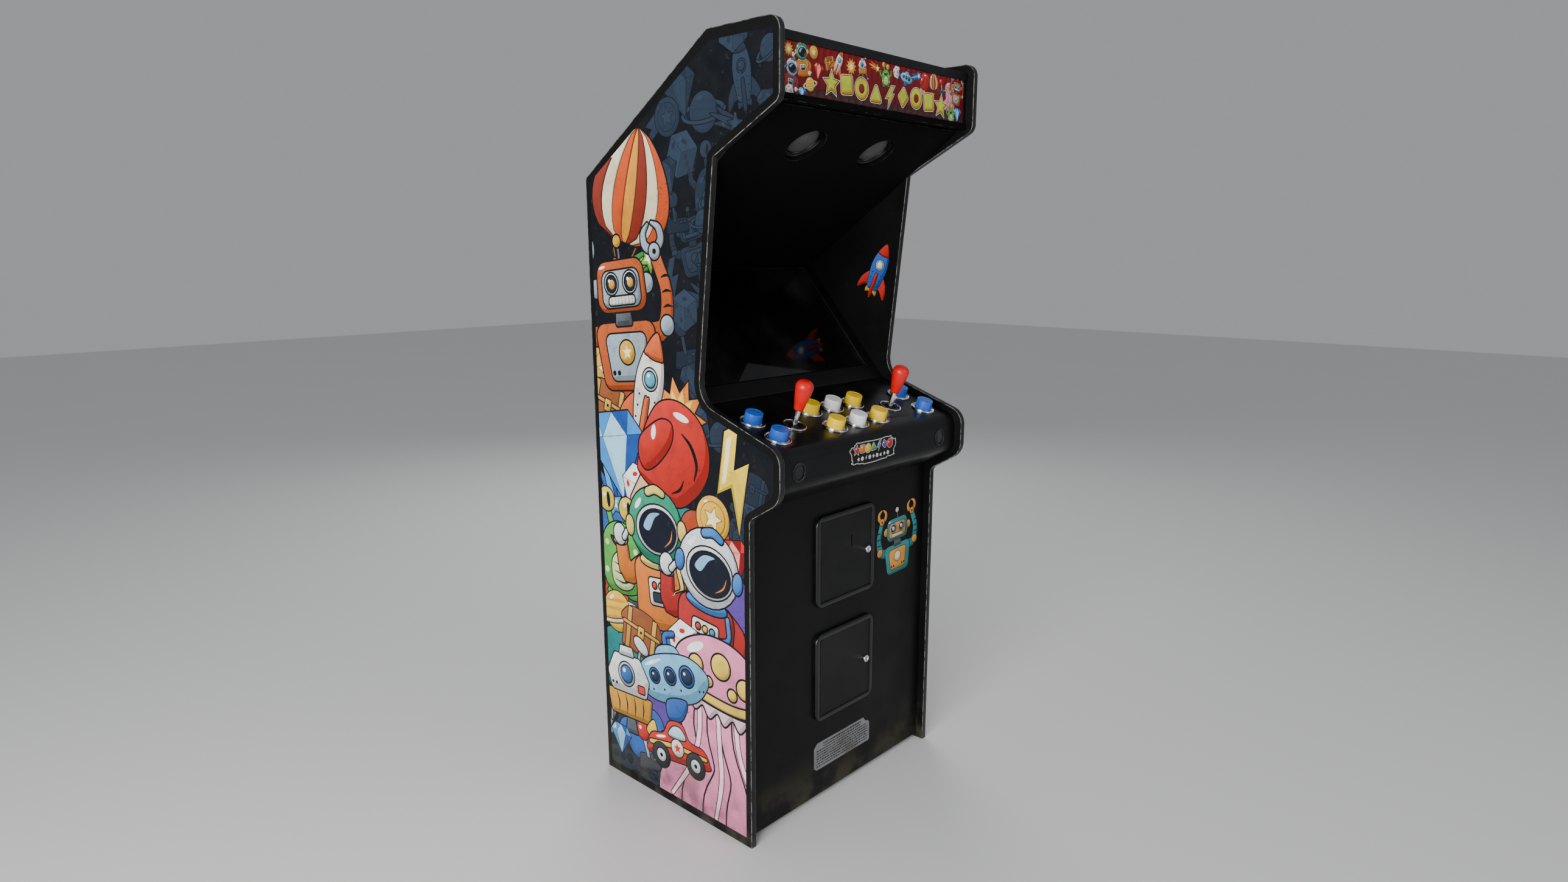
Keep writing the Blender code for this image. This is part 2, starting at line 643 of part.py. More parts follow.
def control_panel_outline():
    """The folded sheet's section: down the slope, round the nose and back under to the front panel."""
    start = SCREEN_FOOT + PANEL_DIRECTION * -GAP
    under_along = (Vector((FOOT_Y, KICK_TOP_Z)) - Vector((FRONT, NOSE_LOW_Z))).normalized()
    under_inward = Vector((-under_along.y, under_along.x))
    on_under = Vector((FRONT, NOSE_LOW_Z)) + under_inward * UNDER_INSET
    nose_line = Vector((NOSE_Y, 0.0))
    nose_high = crossing(PANEL_ORIGIN, PANEL_DIRECTION, nose_line, UPWARD)
    nose_low = crossing(on_under, under_along, nose_line, UPWARD)
    end = crossing(on_under, under_along, Vector((KICK_Y - GAP, 0.0)), UPWARD)
    inside_z = 0.900
    outer = [
        (start.x, start.y, 0.0),
        (nose_high.x, nose_high.y, 0.034),
        (nose_low.x, nose_low.y, 0.030),
        (end.x, end.y, 0.0),
        (end.x, inside_z, 0.0),
        (start.x, inside_z, 0.0),
    ]
    inner = offset_corners(outer, [SKIN, SKIN, SKIN, 0.0, 0.0, 0.0])
    sheet_ends = 4
    outer_points = round_corners(outer[:sheet_ends])
    inner_points = round_corners(inner[:sheet_ends])
    return outer_points + inner_points[::-1]


def button_places():
    """Name, X, distance down the slope and cap colour of each push button."""
    places = []
    for row_name, row in (("back", BACK_ROW), ("front", FRONT_ROW)):
        places.append((f"left_blue_{row_name}", -OUTER_BUTTON_X, row, BLUE))
        places.append((f"left_yellow_{row_name}", -INNER_BUTTON_X, row, YELLOW))
        places.append((f"white_{row_name}", 0.0, row, WHITE))
        places.append((f"right_yellow_{row_name}", INNER_BUTTON_X, row, YELLOW))
        places.append((f"right_blue_{row_name}", OUTER_BUTTON_X, row, BLUE))
    return places


def make_control_panel(panel):
    """The folded sheet with its button, joystick and sound holes."""
    sheet = piece("control_panel", prism(control_panel_outline(), -SPAN, SPAN), BLACK_SHEET)
    holes = bmesh.new()
    for _, x, row, _ in button_places():
        add_cylinder(holes, BARREL_RADIUS + 0.0005, (x, -row, -0.020), (x, -row, 0.020))
    for x in (-STICK_X, STICK_X):
        add_cylinder(holes, COLLAR_RADIUS + 0.0005, (x, -STICK_ROW, -0.020), (x, -STICK_ROW, 0.020),
                     SMOOTH_SEGMENTS)
    to_world = Matrix.Translation(panel.location) @ Matrix.Rotation(PANEL_SLOPE, 4, "X")
    bmesh.ops.transform(holes, verts=holes.verts, matrix=to_world)
    for x in (-SOUND_HOLE_X, SOUND_HOLE_X):
        add_cylinder(holes, SOUND_HOLE_RADIUS, (x, NOSE_Y - 0.010, SOUND_HOLE_Z),
                     (x, NOSE_Y + 0.010, SOUND_HOLE_Z))
    boolean(sheet, holes, "DIFFERENCE")


def button_cap_shape():
    """A tall cap with a dished top, a rounded rim and a stem down to the switch."""
    return turned([(0.0, CAP_TOP - 0.0010), (0.0160, CAP_TOP - 0.0008), (0.0178, CAP_TOP),
                   (0.0198, CAP_TOP - 0.0006), (CAP_RADIUS, CAP_TOP - 0.0022), (CAP_RADIUS, -0.0055),
                   (STEM_RADIUS, -0.0055), (STEM_RADIUS, -0.0340), (0.0, -0.0340)])


def button_housing_shape():
    """A wide flange round a cup, clamped through the sheet by its nut, with the switch below."""
    return turned([(FLANGE_RADIUS, GAP), (FLANGE_RADIUS, 0.0012), (0.0290, 0.0036), (0.0240, 0.0040),
                   (CUP_RADIUS, 0.0030), (CUP_RADIUS, -CUP_DEPTH), (STEM_RADIUS + 0.0007, -CUP_DEPTH),
                   (STEM_RADIUS + 0.0007, -BUTTON_LENGTH), (0.0115, -BUTTON_LENGTH), (0.0115, -0.0130),
                   (NUT_RADIUS, -0.0130), (NUT_RADIUS, -SKIN - GAP), (BARREL_RADIUS, -SKIN - GAP),
                   (BARREL_RADIUS, GAP)])


def make_buttons(panel):
    """Ten push buttons, each a sliding cap in a fixed housing."""
    for name, x, row, colour in button_places():
        where = {"parent": panel, "location": (x, -row, 0.0)}
        piece(f"{name}_cap", button_cap_shape(), colour, smooth=True, **where)
        piece(f"{name}_housing", button_housing_shape(), CHROME, smooth=True, **where)


def joystick_base_shape():
    """A dust ring and collar above the sheet, and an open round housing below it."""
    return turned([(STICK_RING_RADIUS, GAP), (STICK_RING_RADIUS, 0.0020), (0.0272, 0.0040),
                   (0.0245, 0.0036), (0.0225, 0.0012), (STICK_HOLE_RADIUS, 0.0004),
                   (STICK_HOLE_RADIUS, -0.0075), (HOUSING_BORE, -0.0075), (HOUSING_BORE, -0.0330),
                   (0.0200, -0.0330), (0.0200, -HOUSING_DEPTH), (HOUSING_RADIUS, -HOUSING_DEPTH),
                   (HOUSING_RADIUS, -SKIN - GAP), (COLLAR_RADIUS, -SKIN - GAP), (COLLAR_RADIUS, GAP)],
                  SMOOTH_SEGMENTS)


def cross_pins(radius, inner, outer, axis):
    """Two pins in line on either side of the origin, or the holes for them, along one axis."""
    shape = bmesh.new()
    for side in (-1, 1):
        add_cylinder(shape, radius, Vector(axis) * side * inner, Vector(axis) * side * outer, 10)
    return shape


def make_joystick(side, x, panel):
    """Base, gimbal ring, shaft and bat-top; the gimbal and shaft turn about the pivot point."""
    across = (1.0, 0.0, 0.0)
    up_slope = (0.0, 1.0, 0.0)
    base = piece(f"{side}_joystick_base", joystick_base_shape(), CHROME, smooth=True, parent=panel,
                 location=(x, -STICK_ROW, 0.0))
    bearing = cross_pins(PIN_HOLE_RADIUS, HOUSING_BORE - 0.004, HOUSING_RADIUS + 0.010, across)
    bmesh.ops.transform(bearing, verts=bearing.verts, matrix=Matrix.Translation((0.0, 0.0, -PIVOT_DEPTH)))
    boolean(base, bearing, "DIFFERENCE")

    pivot = {"parent": panel, "location": (x, -STICK_ROW, -PIVOT_DEPTH)}
    half_height = 0.0036
    ring = turned([(GIMBAL_RADIUS, half_height), (GIMBAL_BORE, half_height),
                   (GIMBAL_BORE, -half_height), (GIMBAL_RADIUS, -half_height)])
    gimbal = piece(f"{side}_joystick_gimbal", ring, STEEL, smooth=True, **pivot)
    boolean(gimbal, cross_pins(PIN_RADIUS, GIMBAL_BORE + 0.003, HOUSING_BORE + 0.003, across), "UNION")
    shaft_bearing = cross_pins(PIN_HOLE_RADIUS, GIMBAL_BORE - 0.004, GIMBAL_RADIUS + 0.004, up_slope)
    boolean(gimbal, shaft_bearing, "DIFFERENCE")

    top = BAT_LOW + 0.022 + PIVOT_DEPTH
    shaft_profile = [(0.0, top), (SHAFT_RADIUS, top), (SHAFT_RADIUS, 0.0060), (0.0100, 0.0050),
                     (0.0100, -0.0050), (0.0045, -0.0060), (0.0045, -0.0180), (0.0100, -0.0190),
                     (0.0100, -0.0240), (0.0, -0.0240)]
    shaft = piece(f"{side}_joystick_shaft", turned(shaft_profile), STEEL, smooth=True, **pivot)
    boolean(shaft, cross_pins(PIN_RADIUS, SHAFT_RADIUS, GIMBAL_RADIUS - 0.002, up_slope), "UNION")
    piece(f"{side}_joystick_bat", bat_shape(), RED, smooth=True, **pivot)


def bat_shape():
    """A pear-shaped knob with a socket for the shaft, widest near its rounded top."""
    low = BAT_LOW + PIVOT_DEPTH
    high = BAT_HIGH + PIVOT_DEPTH
    socket = SHAFT_RADIUS + 0.0004
    widest = 0.0200
    neck = 0.0098
    widest_z = high - 0.0215
    profile = [(socket, low), (neck - 0.0012, low)]
    rise = 5
    for step in range(rise + 1):
        share = step / rise
        z = low + 0.0016 + (widest_z - low - 0.0016) * share
        profile.append((neck + (widest - neck) * (share ** 0.9), z))
    crown = 5
    for step in range(1, crown):
        angle = math.pi / 2 * step / crown
        profile.append((widest * math.cos(angle), widest_z + (high - widest_z) * math.sin(angle)))
    profile.append((0.0, high))
    socket_top = low + 0.0230
    return turned([(0.0, socket_top), (socket, socket_top)] + profile, SMOOTH_SEGMENTS)


# ---------------------------------------------------------------- screen, head and inside

def make_screen(screen):
    """Bezel, glass and monitor, all in the sloping plane of the screen recess."""
    margin = 0.0005
    sheet = 0.008
    window_x = 0.2985
    window_low = 0.0475
    window_high = SCREEN_LENGTH - 0.008
    bezel = piece("screen_bezel", boxes(((-SPAN, margin, -sheet), (SPAN, SCREEN_LENGTH - margin, 0.0))),
                  BLACK_PLASTIC, parent=screen)
    boolean(bezel, boxes(((-window_x, window_low, -0.020), (window_x, window_high, 0.020))), "DIFFERENCE")
    inside = 0.001
    pane = boxes(((-window_x + inside, window_low + inside, -0.0065),
                  (window_x - inside, window_high - inside, -0.0012)))
    piece("screen_glass", pane, DARK_GLASS, parent=screen)
    plate = ((-SPAN, 0.022, -0.0120), (SPAN, SCREEN_LENGTH - 0.025, -sheet - GAP))
    monitor = piece("monitor", boxes(plate), BLACK_PLASTIC, parent=screen)
    case = ((-0.305, 0.036, -0.055), (0.305, SCREEN_LENGTH - 0.028, -0.0100))
    electronics = ((-0.180, 0.090, -0.085), (0.180, 0.310, -0.050))
    boolean(monitor, boxes(case, electronics), "UNION")


def speaker_shape():
    """A loudspeaker seen from the front along +Z: flange, cone, domed cover and magnet."""
    behind = -SPEAKER_BOARD - GAP
    return turned([(0.0, -0.0060), (0.0180, -0.0075), (0.0310, -0.0112), (0.0375, -0.0150),
                   (0.0385, -0.0170), (0.0470, -0.0150), (0.0490, behind), (0.0580, behind),
                   (0.0580, behind - 0.0030), (0.0500, behind - 0.0060), (0.0320, behind - 0.0260),
                   (0.0320, behind - 0.0420), (0.0, behind - 0.0420)], SMOOTH_SEGMENTS)


def make_speakers(brow):
    """The board under the head and the two speakers in its holes."""
    flat = boxes(((-SPAN, 0.0, 0.0), (SPAN, SPEAKER_BOARD_LENGTH - 0.0005, SPEAKER_BOARD)))
    board = piece("speaker_panel", flat, BLACK_LAMINATE, parent=brow)
    holes = bmesh.new()
    for x in (-SPEAKER_X, SPEAKER_X):
        add_cylinder(holes, SPEAKER_HOLE_RADIUS, (x, SPEAKER_ALONG, -0.010), (x, SPEAKER_ALONG, 0.030), 24)
    boolean(board, holes, "DIFFERENCE")
    for side, x in (("left", -SPEAKER_X), ("right", SPEAKER_X)):
        piece(f"{side}_speaker", speaker_shape(), BLACK_PLASTIC, smooth=True, parent=brow,
              location=(x, SPEAKER_ALONG, 0.0), rotation=(math.pi, 0.0, 0.0))


def angle_strip(face_y, edge_z, lip, flange, direction):
    """An angle section: a lip over the sign's face and a flange running back from its outer edge."""
    thickness = 0.003
    inner_y = face_y + thickness
    inner_z = edge_z + direction * thickness
    lip_z = edge_z + direction * lip
    corners = [(face_y, edge_z), (face_y, lip_z), (inner_y, lip_z), (inner_y, inner_z),
               (face_y + flange, inner_z), (face_y + flange, edge_z)]
    return prism(corners, -SPAN, SPAN)


def make_sign():
    """The lit sign at the top: its panel, two retainer strips and the lamp behind it."""
    panel_y = -0.294
    thickness = 0.003
    sign = boxes(((-SPAN, panel_y, 1.6525), (SPAN, panel_y + thickness, 1.7745)))
    piece("marquee_panel", sign, SIGN_FILM)
    strip_y = panel_y - thickness - GAP
    top_strip = angle_strip(strip_y, 1.7785, 0.0180, 0.027, -1)
    bottom_strip = angle_strip(strip_y, 1.6490, 0.0140, 0.022, 1)
    piece("marquee_retainer_top", top_strip, BLACK_PLASTIC)
    piece("marquee_retainer_bottom", bottom_strip, BLACK_PLASTIC)
    make_lamp(-0.225, 1.705)


def make_lamp(y, z):
    """The sign's lamp: a tube in two holders on a batten under the top panel."""
    tube = bmesh.new()
    add_cylinder(tube, 0.013, (-0.280, y, z), (0.280, y, z))
    lamp = piece("marquee_lamp", tube, LAMP_WHITE, smooth=True)
    batten_low = 1.7445
    batten = ((-0.300, y - 0.018, batten_low), (0.300, y + 0.018, TOP_Z - BOARD - 2 * GAP))
    holders = [((x - 0.006, y - 0.015, z - 0.015), (x + 0.006, y + 0.015, batten_low + 0.005))
               for x in (-0.270, 0.270)]
    boolean(lamp, boxes(batten, *holders), "UNION")


def make_game_board(floor):
    """A circuit board on four posts, with its chips and a heat sink."""
    low_z = floor + 0.012
    high_z = low_z + 0.002
    board = piece("game_board", boxes(((-0.260, 0.020, low_z), (-0.060, 0.200, high_z))), CIRCUIT_GREEN)
    posts = [((x - 0.004, y - 0.004, floor), (x + 0.004, y + 0.004, low_z + 0.001))
             for x in (-0.250, -0.070) for y in (0.030, 0.190)]
    chips = [((x, y, low_z + 0.001), (x + 0.030, y + 0.030, high_z + 0.004))
             for x in (-0.235, -0.185, -0.135) for y in (0.045, 0.095)]
    heat_sink = ((-0.130, 0.145, low_z + 0.001), (-0.090, 0.185, high_z + 0.028))
    boolean(board, boxes(*posts, *chips, heat_sink), "UNION")


def make_power_supply(floor):
    """A power supply whose mains inlet reaches out through the rear frame."""
    case = boxes(((0.130, 0.130, floor), (0.290, REAR_INNER_Y - 0.010, floor + 0.080)))
    supply = piece("power_supply", case, ALUMINIUM)
    clear = 0.0005
    snout = ((INLET_X - INLET_HALF_WIDTH + clear, REAR_INNER_Y - 0.020, INLET_Z - INLET_HALF_HEIGHT + clear),
             (INLET_X + INLET_HALF_WIDTH - clear, REAR_Y, INLET_Z + INLET_HALF_HEIGHT - clear))
    boolean(supply, boxes(snout), "UNION")
    socket = ((INLET_X - 0.0120, REAR_Y - 0.012, INLET_Z - 0.0085),
              (INLET_X + 0.0120, REAR_Y + 0.010, INLET_Z + 0.0085))
    boolean(supply, boxes(socket), "DIFFERENCE")
    pins = [((INLET_X + x - 0.001, REAR_Y - 0.014, INLET_Z + z - 0.002),
             (INLET_X + x + 0.001, REAR_Y - 0.003, INLET_Z + z + 0.002))
            for x, z in ((-0.007, -0.002), (0.0, 0.003), (0.007, -0.002))]
    boolean(supply, boxes(*pins), "UNION")


def make_cash_box(floor):
    """An open-topped steel box behind the lower coin door."""
    wall = 0.003
    low = Vector((-0.085, KICK_BACK_Y + 0.015, floor))
    high = Vector((0.085, KICK_BACK_Y + 0.165, 0.290))
    cash_box = piece("cash_box", boxes((low, high)), STEEL)
    hollow = (low + Vector((wall, wall, wall)), high + Vector((-wall, -wall, wall)))
    boolean(cash_box, boxes(hollow), "DIFFERENCE")


def make_inside():
    """What stands on the base panel."""
    floor = BASE_Z + BOARD + GAP
    make_game_board(floor)
    make_power_supply(floor)
    make_cash_box(floor)


def build():
    """Build the whole cabinet."""
    clear_scene()
    panel = frame_empty("control_panel_plane", PANEL_ORIGIN, PANEL_SLOPE)
    screen = frame_empty("screen_plane", SCREEN_FOOT, SCREEN_SLOPE)
    brow = frame_empty("speaker_plane", SPEAKER_BOARD_START, BROW_SLOPE)
    make_carcass()
    make_rear_door()
    make_coin_doors()
    make_control_panel(panel)
    make_buttons(panel)
    make_joystick("left", -STICK_X, panel)
    make_joystick("right", STICK_X, panel)
    make_screen(screen)
    make_speakers(brow)
    make_sign()
    make_inside()


build()
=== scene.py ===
"""The looks of an upright arcade cabinet: finishes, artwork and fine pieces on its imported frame."""

import math
import random

import bmesh
import bpy
from mathutils import Matrix, Vector
from mathutils.geometry import delaunay_2d_cdt


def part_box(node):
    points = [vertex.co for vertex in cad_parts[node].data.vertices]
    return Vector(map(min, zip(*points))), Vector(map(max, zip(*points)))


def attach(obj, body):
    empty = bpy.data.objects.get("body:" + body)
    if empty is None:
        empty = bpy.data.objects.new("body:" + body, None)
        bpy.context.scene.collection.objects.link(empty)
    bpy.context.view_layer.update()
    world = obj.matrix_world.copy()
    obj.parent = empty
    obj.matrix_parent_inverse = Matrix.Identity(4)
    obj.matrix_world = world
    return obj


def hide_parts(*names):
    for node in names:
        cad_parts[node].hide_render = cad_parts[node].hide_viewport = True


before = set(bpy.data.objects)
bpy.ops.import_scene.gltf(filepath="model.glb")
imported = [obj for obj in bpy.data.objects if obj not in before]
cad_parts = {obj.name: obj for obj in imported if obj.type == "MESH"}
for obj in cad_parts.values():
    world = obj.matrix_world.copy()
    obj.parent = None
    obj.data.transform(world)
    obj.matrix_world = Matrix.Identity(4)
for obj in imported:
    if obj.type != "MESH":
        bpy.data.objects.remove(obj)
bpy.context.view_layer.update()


# ---------------------------------------------------------------- places, from the cabinet's design

FRONT, BACK = -0.316, 0.316
HEIGHT = 1.800
FOOT_Y = -0.226
KICK_Y = FOOT_Y + 0.0215
ELBOW = Vector((-0.069, 1.033))
NOSE_TOP = Vector((FRONT, 0.949))
PANEL_DROP = 0.016
RECESS_CORNER = Vector((0.2046, 1.3169))
BROW_START = Vector((-0.290, 1.6564))

# The side outline: (y, z, corner radius), anticlockwise from the front foot.
SIDE_CORNERS = [
    (FOOT_Y, 0.0, 0.0), (BACK, 0.0, 0.0), (BACK, 1.527, 0.012), (-0.113, HEIGHT, 0.012),
    (FRONT, HEIGHT, 0.028), (FRONT, 1.645, 0.025), (-0.1265, 1.548, 0.004), (*ELBOW, 0.060),
    (*NOSE_TOP, 0.045), (FRONT, 0.843, 0.050), (FOOT_Y, 0.7885, 0.020),
]
TRIM = 0.0015

BUTTON_ROWS = {"back": 0.100, "front": 0.183}
BUTTON_COLUMNS = {"left_blue": -0.273, "left_yellow": -0.080, "white": 0.0,
                  "right_yellow": 0.080, "right_blue": 0.273}
STICK_ROW = 0.145
STICK_X = 0.181
SPEAKER_X = 0.125
SPEAKER_ALONG = 0.1098
SOUND_HOLE = Vector((0.268, -0.295, 0.893))
COIN_DOORS = {"upper": 0.626, "lower": 0.330}
COIN_LOCK_X = 0.0835
COIN_LOCK_DROP = 0.005
COIN_FRAME_HALF_WIDTH, COIN_FRAME_HALF_HEIGHT = 0.113, 0.115
CAP_TOP = 0.0258
PIVOT_DEPTH = 0.020
BAT_LOW, BAT_HIGH = 0.040, 0.113

FRONTWARDS = (0.0, -1.0, 0.0)
TO_FRONT = Matrix.Rotation(math.pi / 2, 4, "X")


def slope_place(start, end, x=0.0, along=0.0):
    """A place on a plane that runs up from start to end: local Y up the slope, local Z out of it."""
    direction = (end - start).normalized()
    origin = start + direction * along
    turn = Matrix.Rotation(math.atan2(direction.y, direction.x), 4, "X")
    return Matrix.Translation((x, origin.x, origin.y)) @ turn


PANEL_DIRECTION = (ELBOW - NOSE_TOP).normalized()
PANEL_ORIGIN = ELBOW - Vector((-PANEL_DIRECTION.y, PANEL_DIRECTION.x)) * PANEL_DROP


def upright(facing, x, y, z):
    """A place on an upright face: local X to the right as seen from the front, Y up, Z out of it."""
    out = Vector(facing)
    right = Vector((0.0, 0.0, 1.0)).cross(out)
    columns = Matrix((right, (0.0, 0.0, 1.0), out)).transposed()
    return Matrix.Translation((x, y, z)) @ columns.to_4x4()


def on_panel(x, down):
    """A place on the control panel's face, this far down from its elbow."""
    return slope_place(PANEL_ORIGIN, PANEL_ORIGIN + PANEL_DIRECTION, x, -down)


# ---------------------------------------------------------------- outlines and meshes

def rounded(corners, closed=True, arc_step=math.radians(6)):
    """Turn (a, b, radius) corners into points, with an arc at each rounded corner."""
    points = []
    for index, (a, b, radius) in enumerate(corners):
        here = Vector((a, b))
        at_end = not closed and index in (0, len(corners) - 1)
        if radius <= 0 or at_end:
            points.append(here)
            continue
        to_before = (Vector(corners[index - 1][:2]) - here).normalized()
        to_after = (Vector(corners[(index + 1) % len(corners)][:2]) - here).normalized()
        half_angle = to_before.angle(to_after) / 2
        centre = here + (to_before + to_after).normalized() * radius / math.sin(half_angle)
        reach = radius / math.tan(half_angle)
        first = here + to_before * reach - centre
        last = here + to_after * reach - centre
        start = math.atan2(first.y, first.x)
        sweep = (math.atan2(last.y, last.x) - start + math.pi) % (2 * math.pi) - math.pi
        steps = max(2, round(abs(sweep) / arc_step))
        for step in range(steps + 1):
            angle = start + sweep * step / steps
            points.append(centre + Vector((math.cos(angle), math.sin(angle))) * radius)
    return points


def outward(points):
    """The outward direction at each point of a closed anticlockwise outline, scaled to keep its width."""
    directions = []
    for index, point in enumerate(points):
        before = (point - points[index - 1]).normalized()
        after = (points[(index + 1) % len(points)] - point).normalized()
        normal = Vector((before.y + after.y, -before.x - after.x))
        if normal.length < 0.2:
            normal = Vector((before.y, -before.x))
        normal.normalize()
        directions.append(normal / max(0.4, normal.dot(Vector((before.y, -before.x)))))
    return directions


def grown(points, distance):
    """A closed anticlockwise outline moved outwards, or inwards for a distance below zero."""
    return [point + normal * distance for point, normal in zip(points, outward(points))]


def lathe(profile, segments=48):
    """Turn (radius, height) points round local Z; points on the axis close the shape."""
    shape = bmesh.new()
    rings = []
    for radius, height in profile:
        if radius < 1e-6:
            rings.append([shape.verts.new((0.0, 0.0, height))])
            continue
        angles = [2 * math.pi * step / segments for step in range(segments)]
        rings.append([shape.verts.new((radius * math.cos(a), radius * math.sin(a), height)) for a in angles])
    closed = len(rings[0]) > 1
    for index in range(len(rings) if closed else len(rings) - 1):
        bridge(shape, rings[index], rings[(index + 1) % len(rings)])
    return shape


def bridge(shape, ring_a, ring_b):
    """Join two rings of the same size, or a ring and a single point, with faces."""
    count = max(len(ring_a), len(ring_b))
    for index in range(count):
        after = (index + 1) % count
        corners = [ring_a[index % len(ring_a)], ring_a[after % len(ring_a)],
                   ring_b[after % len(ring_b)], ring_b[index % len(ring_b)]]
        unique = list(dict.fromkeys(corners))
        if len(unique) > 2:
            shape.faces.new(unique)


def loft(outlines, capped=True):
    """Join closed outlines, each a list of 3D points of the same count, one after another."""
    shape = bmesh.new()
    rings = [[shape.verts.new(point) for point in outline] for outline in outlines]
    for ring_a, ring_b in zip(rings, rings[1:]):
        bridge(shape, ring_a, ring_b)
    if capped:
        shape.faces.new(rings[0])
        shape.faces.new(rings[-1])
    return shape


def rounded_box(low, high, radius=0.001):
    """A box between two corners with softened edges."""
    shape = bmesh.new()
    bmesh.ops.create_cube(shape, size=1.0)
    size = Vector(high) - Vector(low)
    middle = (Vector(high) + Vector(low)) / 2
    bmesh.ops.scale(shape, vec=size, verts=shape.verts)
    bmesh.ops.translate(shape, vec=middle, verts=shape.verts)
    bmesh.ops.bevel(shape, geom=shape.edges[:], offset=radius, segments=2, profile=0.5, affect="EDGES")
    return shape


# ---------------------------------------------------------------- finishes

class Finish:
    """A Principled material, with short calls for the nodes that make its detail."""

    def __init__(self, name, colour, roughness, metallic=0.0):
        self.material = bpy.data.materials.new(name)
        self.material.use_nodes = True
        self.tree = self.material.node_tree
        self.shader = self.tree.nodes["Principled BSDF"]
        self.place = self.tree.nodes.new("ShaderNodeTexCoord").outputs["Object"]
        self.colour = (*colour, 1.0)
        self.roughness = roughness
        self.constant("Metallic", metallic)

    def constant(self, name, value):
        """Set one of the shader's own inputs to a plain value."""
        self.shader.inputs[name].default_value = value

    def feed(self, socket, value):
        """Join a value or another node's output to an input."""
        if isinstance(value, bpy.types.NodeSocket):
            self.tree.links.new(value, socket)
        else:
            socket.default_value = value

    def math(self, operation, first, second=0.0):
        """A number worked out from one or two others."""
        node = self.tree.nodes.new("ShaderNodeMath")
        node.operation = operation
        self.feed(node.inputs[0], first)
        self.feed(node.inputs[1], second)
        return node.outputs[0]

    def stretched(self, stretch):
        """The place, scaled differently along each axis."""
        node = self.tree.nodes.new("ShaderNodeMapping")
        self.feed(node.inputs["Vector"], self.place)
        node.inputs["Scale"].default_value = stretch
        return node.outputs[0]

    def noise(self, scale, detail=3.0, stretch=(1.0, 1.0, 1.0)):
        """Cloudy noise from 0 to 1."""
        node = self.tree.nodes.new("ShaderNodeTexNoise")
        self.feed(node.inputs["Vector"], self.stretched(stretch))
        node.inputs["Scale"].default_value = scale
        node.inputs["Detail"].default_value = detail
        return node.outputs[0]

    def cell_edges(self, scale, warp=0.0, stretch=(1.0, 1.0, 1.0)):
        """Distance to the nearest border of random cells; warp bends the borders."""
        node = self.tree.nodes.new("ShaderNodeTexVoronoi")
        node.feature = "DISTANCE_TO_EDGE"
        where = self.stretched(stretch)
        if warp:
            bend = self.tree.nodes.new("ShaderNodeTexNoise")
            bend.inputs["Scale"].default_value = scale * 1.5
            self.feed(bend.inputs["Vector"], where)
            added = self.tree.nodes.new("ShaderNodeVectorMath")
            added.operation = "MULTIPLY_ADD"
            self.feed(added.inputs[0], bend.outputs["Color"])
            added.inputs[1].default_value = (warp, warp, warp)
            self.feed(added.inputs[2], where)
            where = added.outputs[0]
        self.feed(node.inputs["Vector"], where)
        node.inputs["Scale"].default_value = scale
        return node.outputs["Distance"]

    def fade(self, value, low, high, at_low=0.0, at_high=1.0):
        """A smooth step: at_low below low, at_high above high."""
        node = self.tree.nodes.new("ShaderNodeMapRange")
        node.interpolation_type = "SMOOTHSTEP"
        self.feed(node.inputs[0], value)
        for index, number in enumerate((low, high, at_low, at_high), start=1):
            node.inputs[index].default_value = number
        return node.outputs[0]

    def height(self):
        """Height above the floor."""
        node = self.tree.nodes.new("ShaderNodeSeparateXYZ")
        self.feed(node.inputs[0], self.place)
        return node.outputs[2]

    def arrises(self, radius, sharpness=0.03):
        """1 on sharp outer edges within this radius, 0 on flat faces."""
        bevel = self.tree.nodes.new("ShaderNodeBevel")
        bevel.samples = 4
        bevel.inputs["Radius"].default_value = radius
        geometry = self.tree.nodes.new("ShaderNodeNewGeometry")
        compare = self.tree.nodes.new("ShaderNodeVectorMath")
        compare.operation = "DOT_PRODUCT"
        self.feed(compare.inputs[0], bevel.outputs[0])
        self.feed(compare.inputs[1], geometry.outputs["Normal"])
        return self.fade(compare.outputs["Value"], 1.0 - sharpness, 1.0 - sharpness / 8, 1.0, 0.0)

    def tint(self, factor, colour):
        """Cover the colour so far with another one where factor is high."""
        node = self.tree.nodes.new("ShaderNodeMix")
        node.data_type = "RGBA"
        self.feed(node.inputs[0], factor)
        self.feed(node.inputs[6], self.colour)
        self.feed(node.inputs[7], colour if isinstance(colour, bpy.types.NodeSocket) else (*colour, 1.0))
        self.colour = node.outputs[2]

    def rougher(self, factor, amount):
        """Raise the roughness so far by amount where factor is high; lower it for amounts below zero."""
        change = self.math("MULTIPLY", factor, amount)
        self.roughness = self.math("ADD", self.roughness, change)

    def bump(self, height, distance, strength=1.0):
        """Raise the surface by distance where height is 1, on top of the bumps so far."""
        node = self.tree.nodes.new("ShaderNodeBump")
        node.inputs["Distance"].default_value = distance
        node.inputs["Strength"].default_value = strength
        self.feed(node.inputs["Height"], height)
        normal = self.shader.inputs["Normal"]
        if normal.is_linked:
            self.feed(node.inputs["Normal"], normal.links[0].from_socket)
        self.feed(normal, node.outputs[0])

    def done(self):
        """Join the colour and roughness to the shader, and give back the material."""
        self.feed(self.shader.inputs["Base Color"], self.colour)
        self.feed(self.shader.inputs["Roughness"], self.roughness)
        return self.material


GRIME = (0.060, 0.055, 0.038)
DUST = (0.16, 0.155, 0.14)


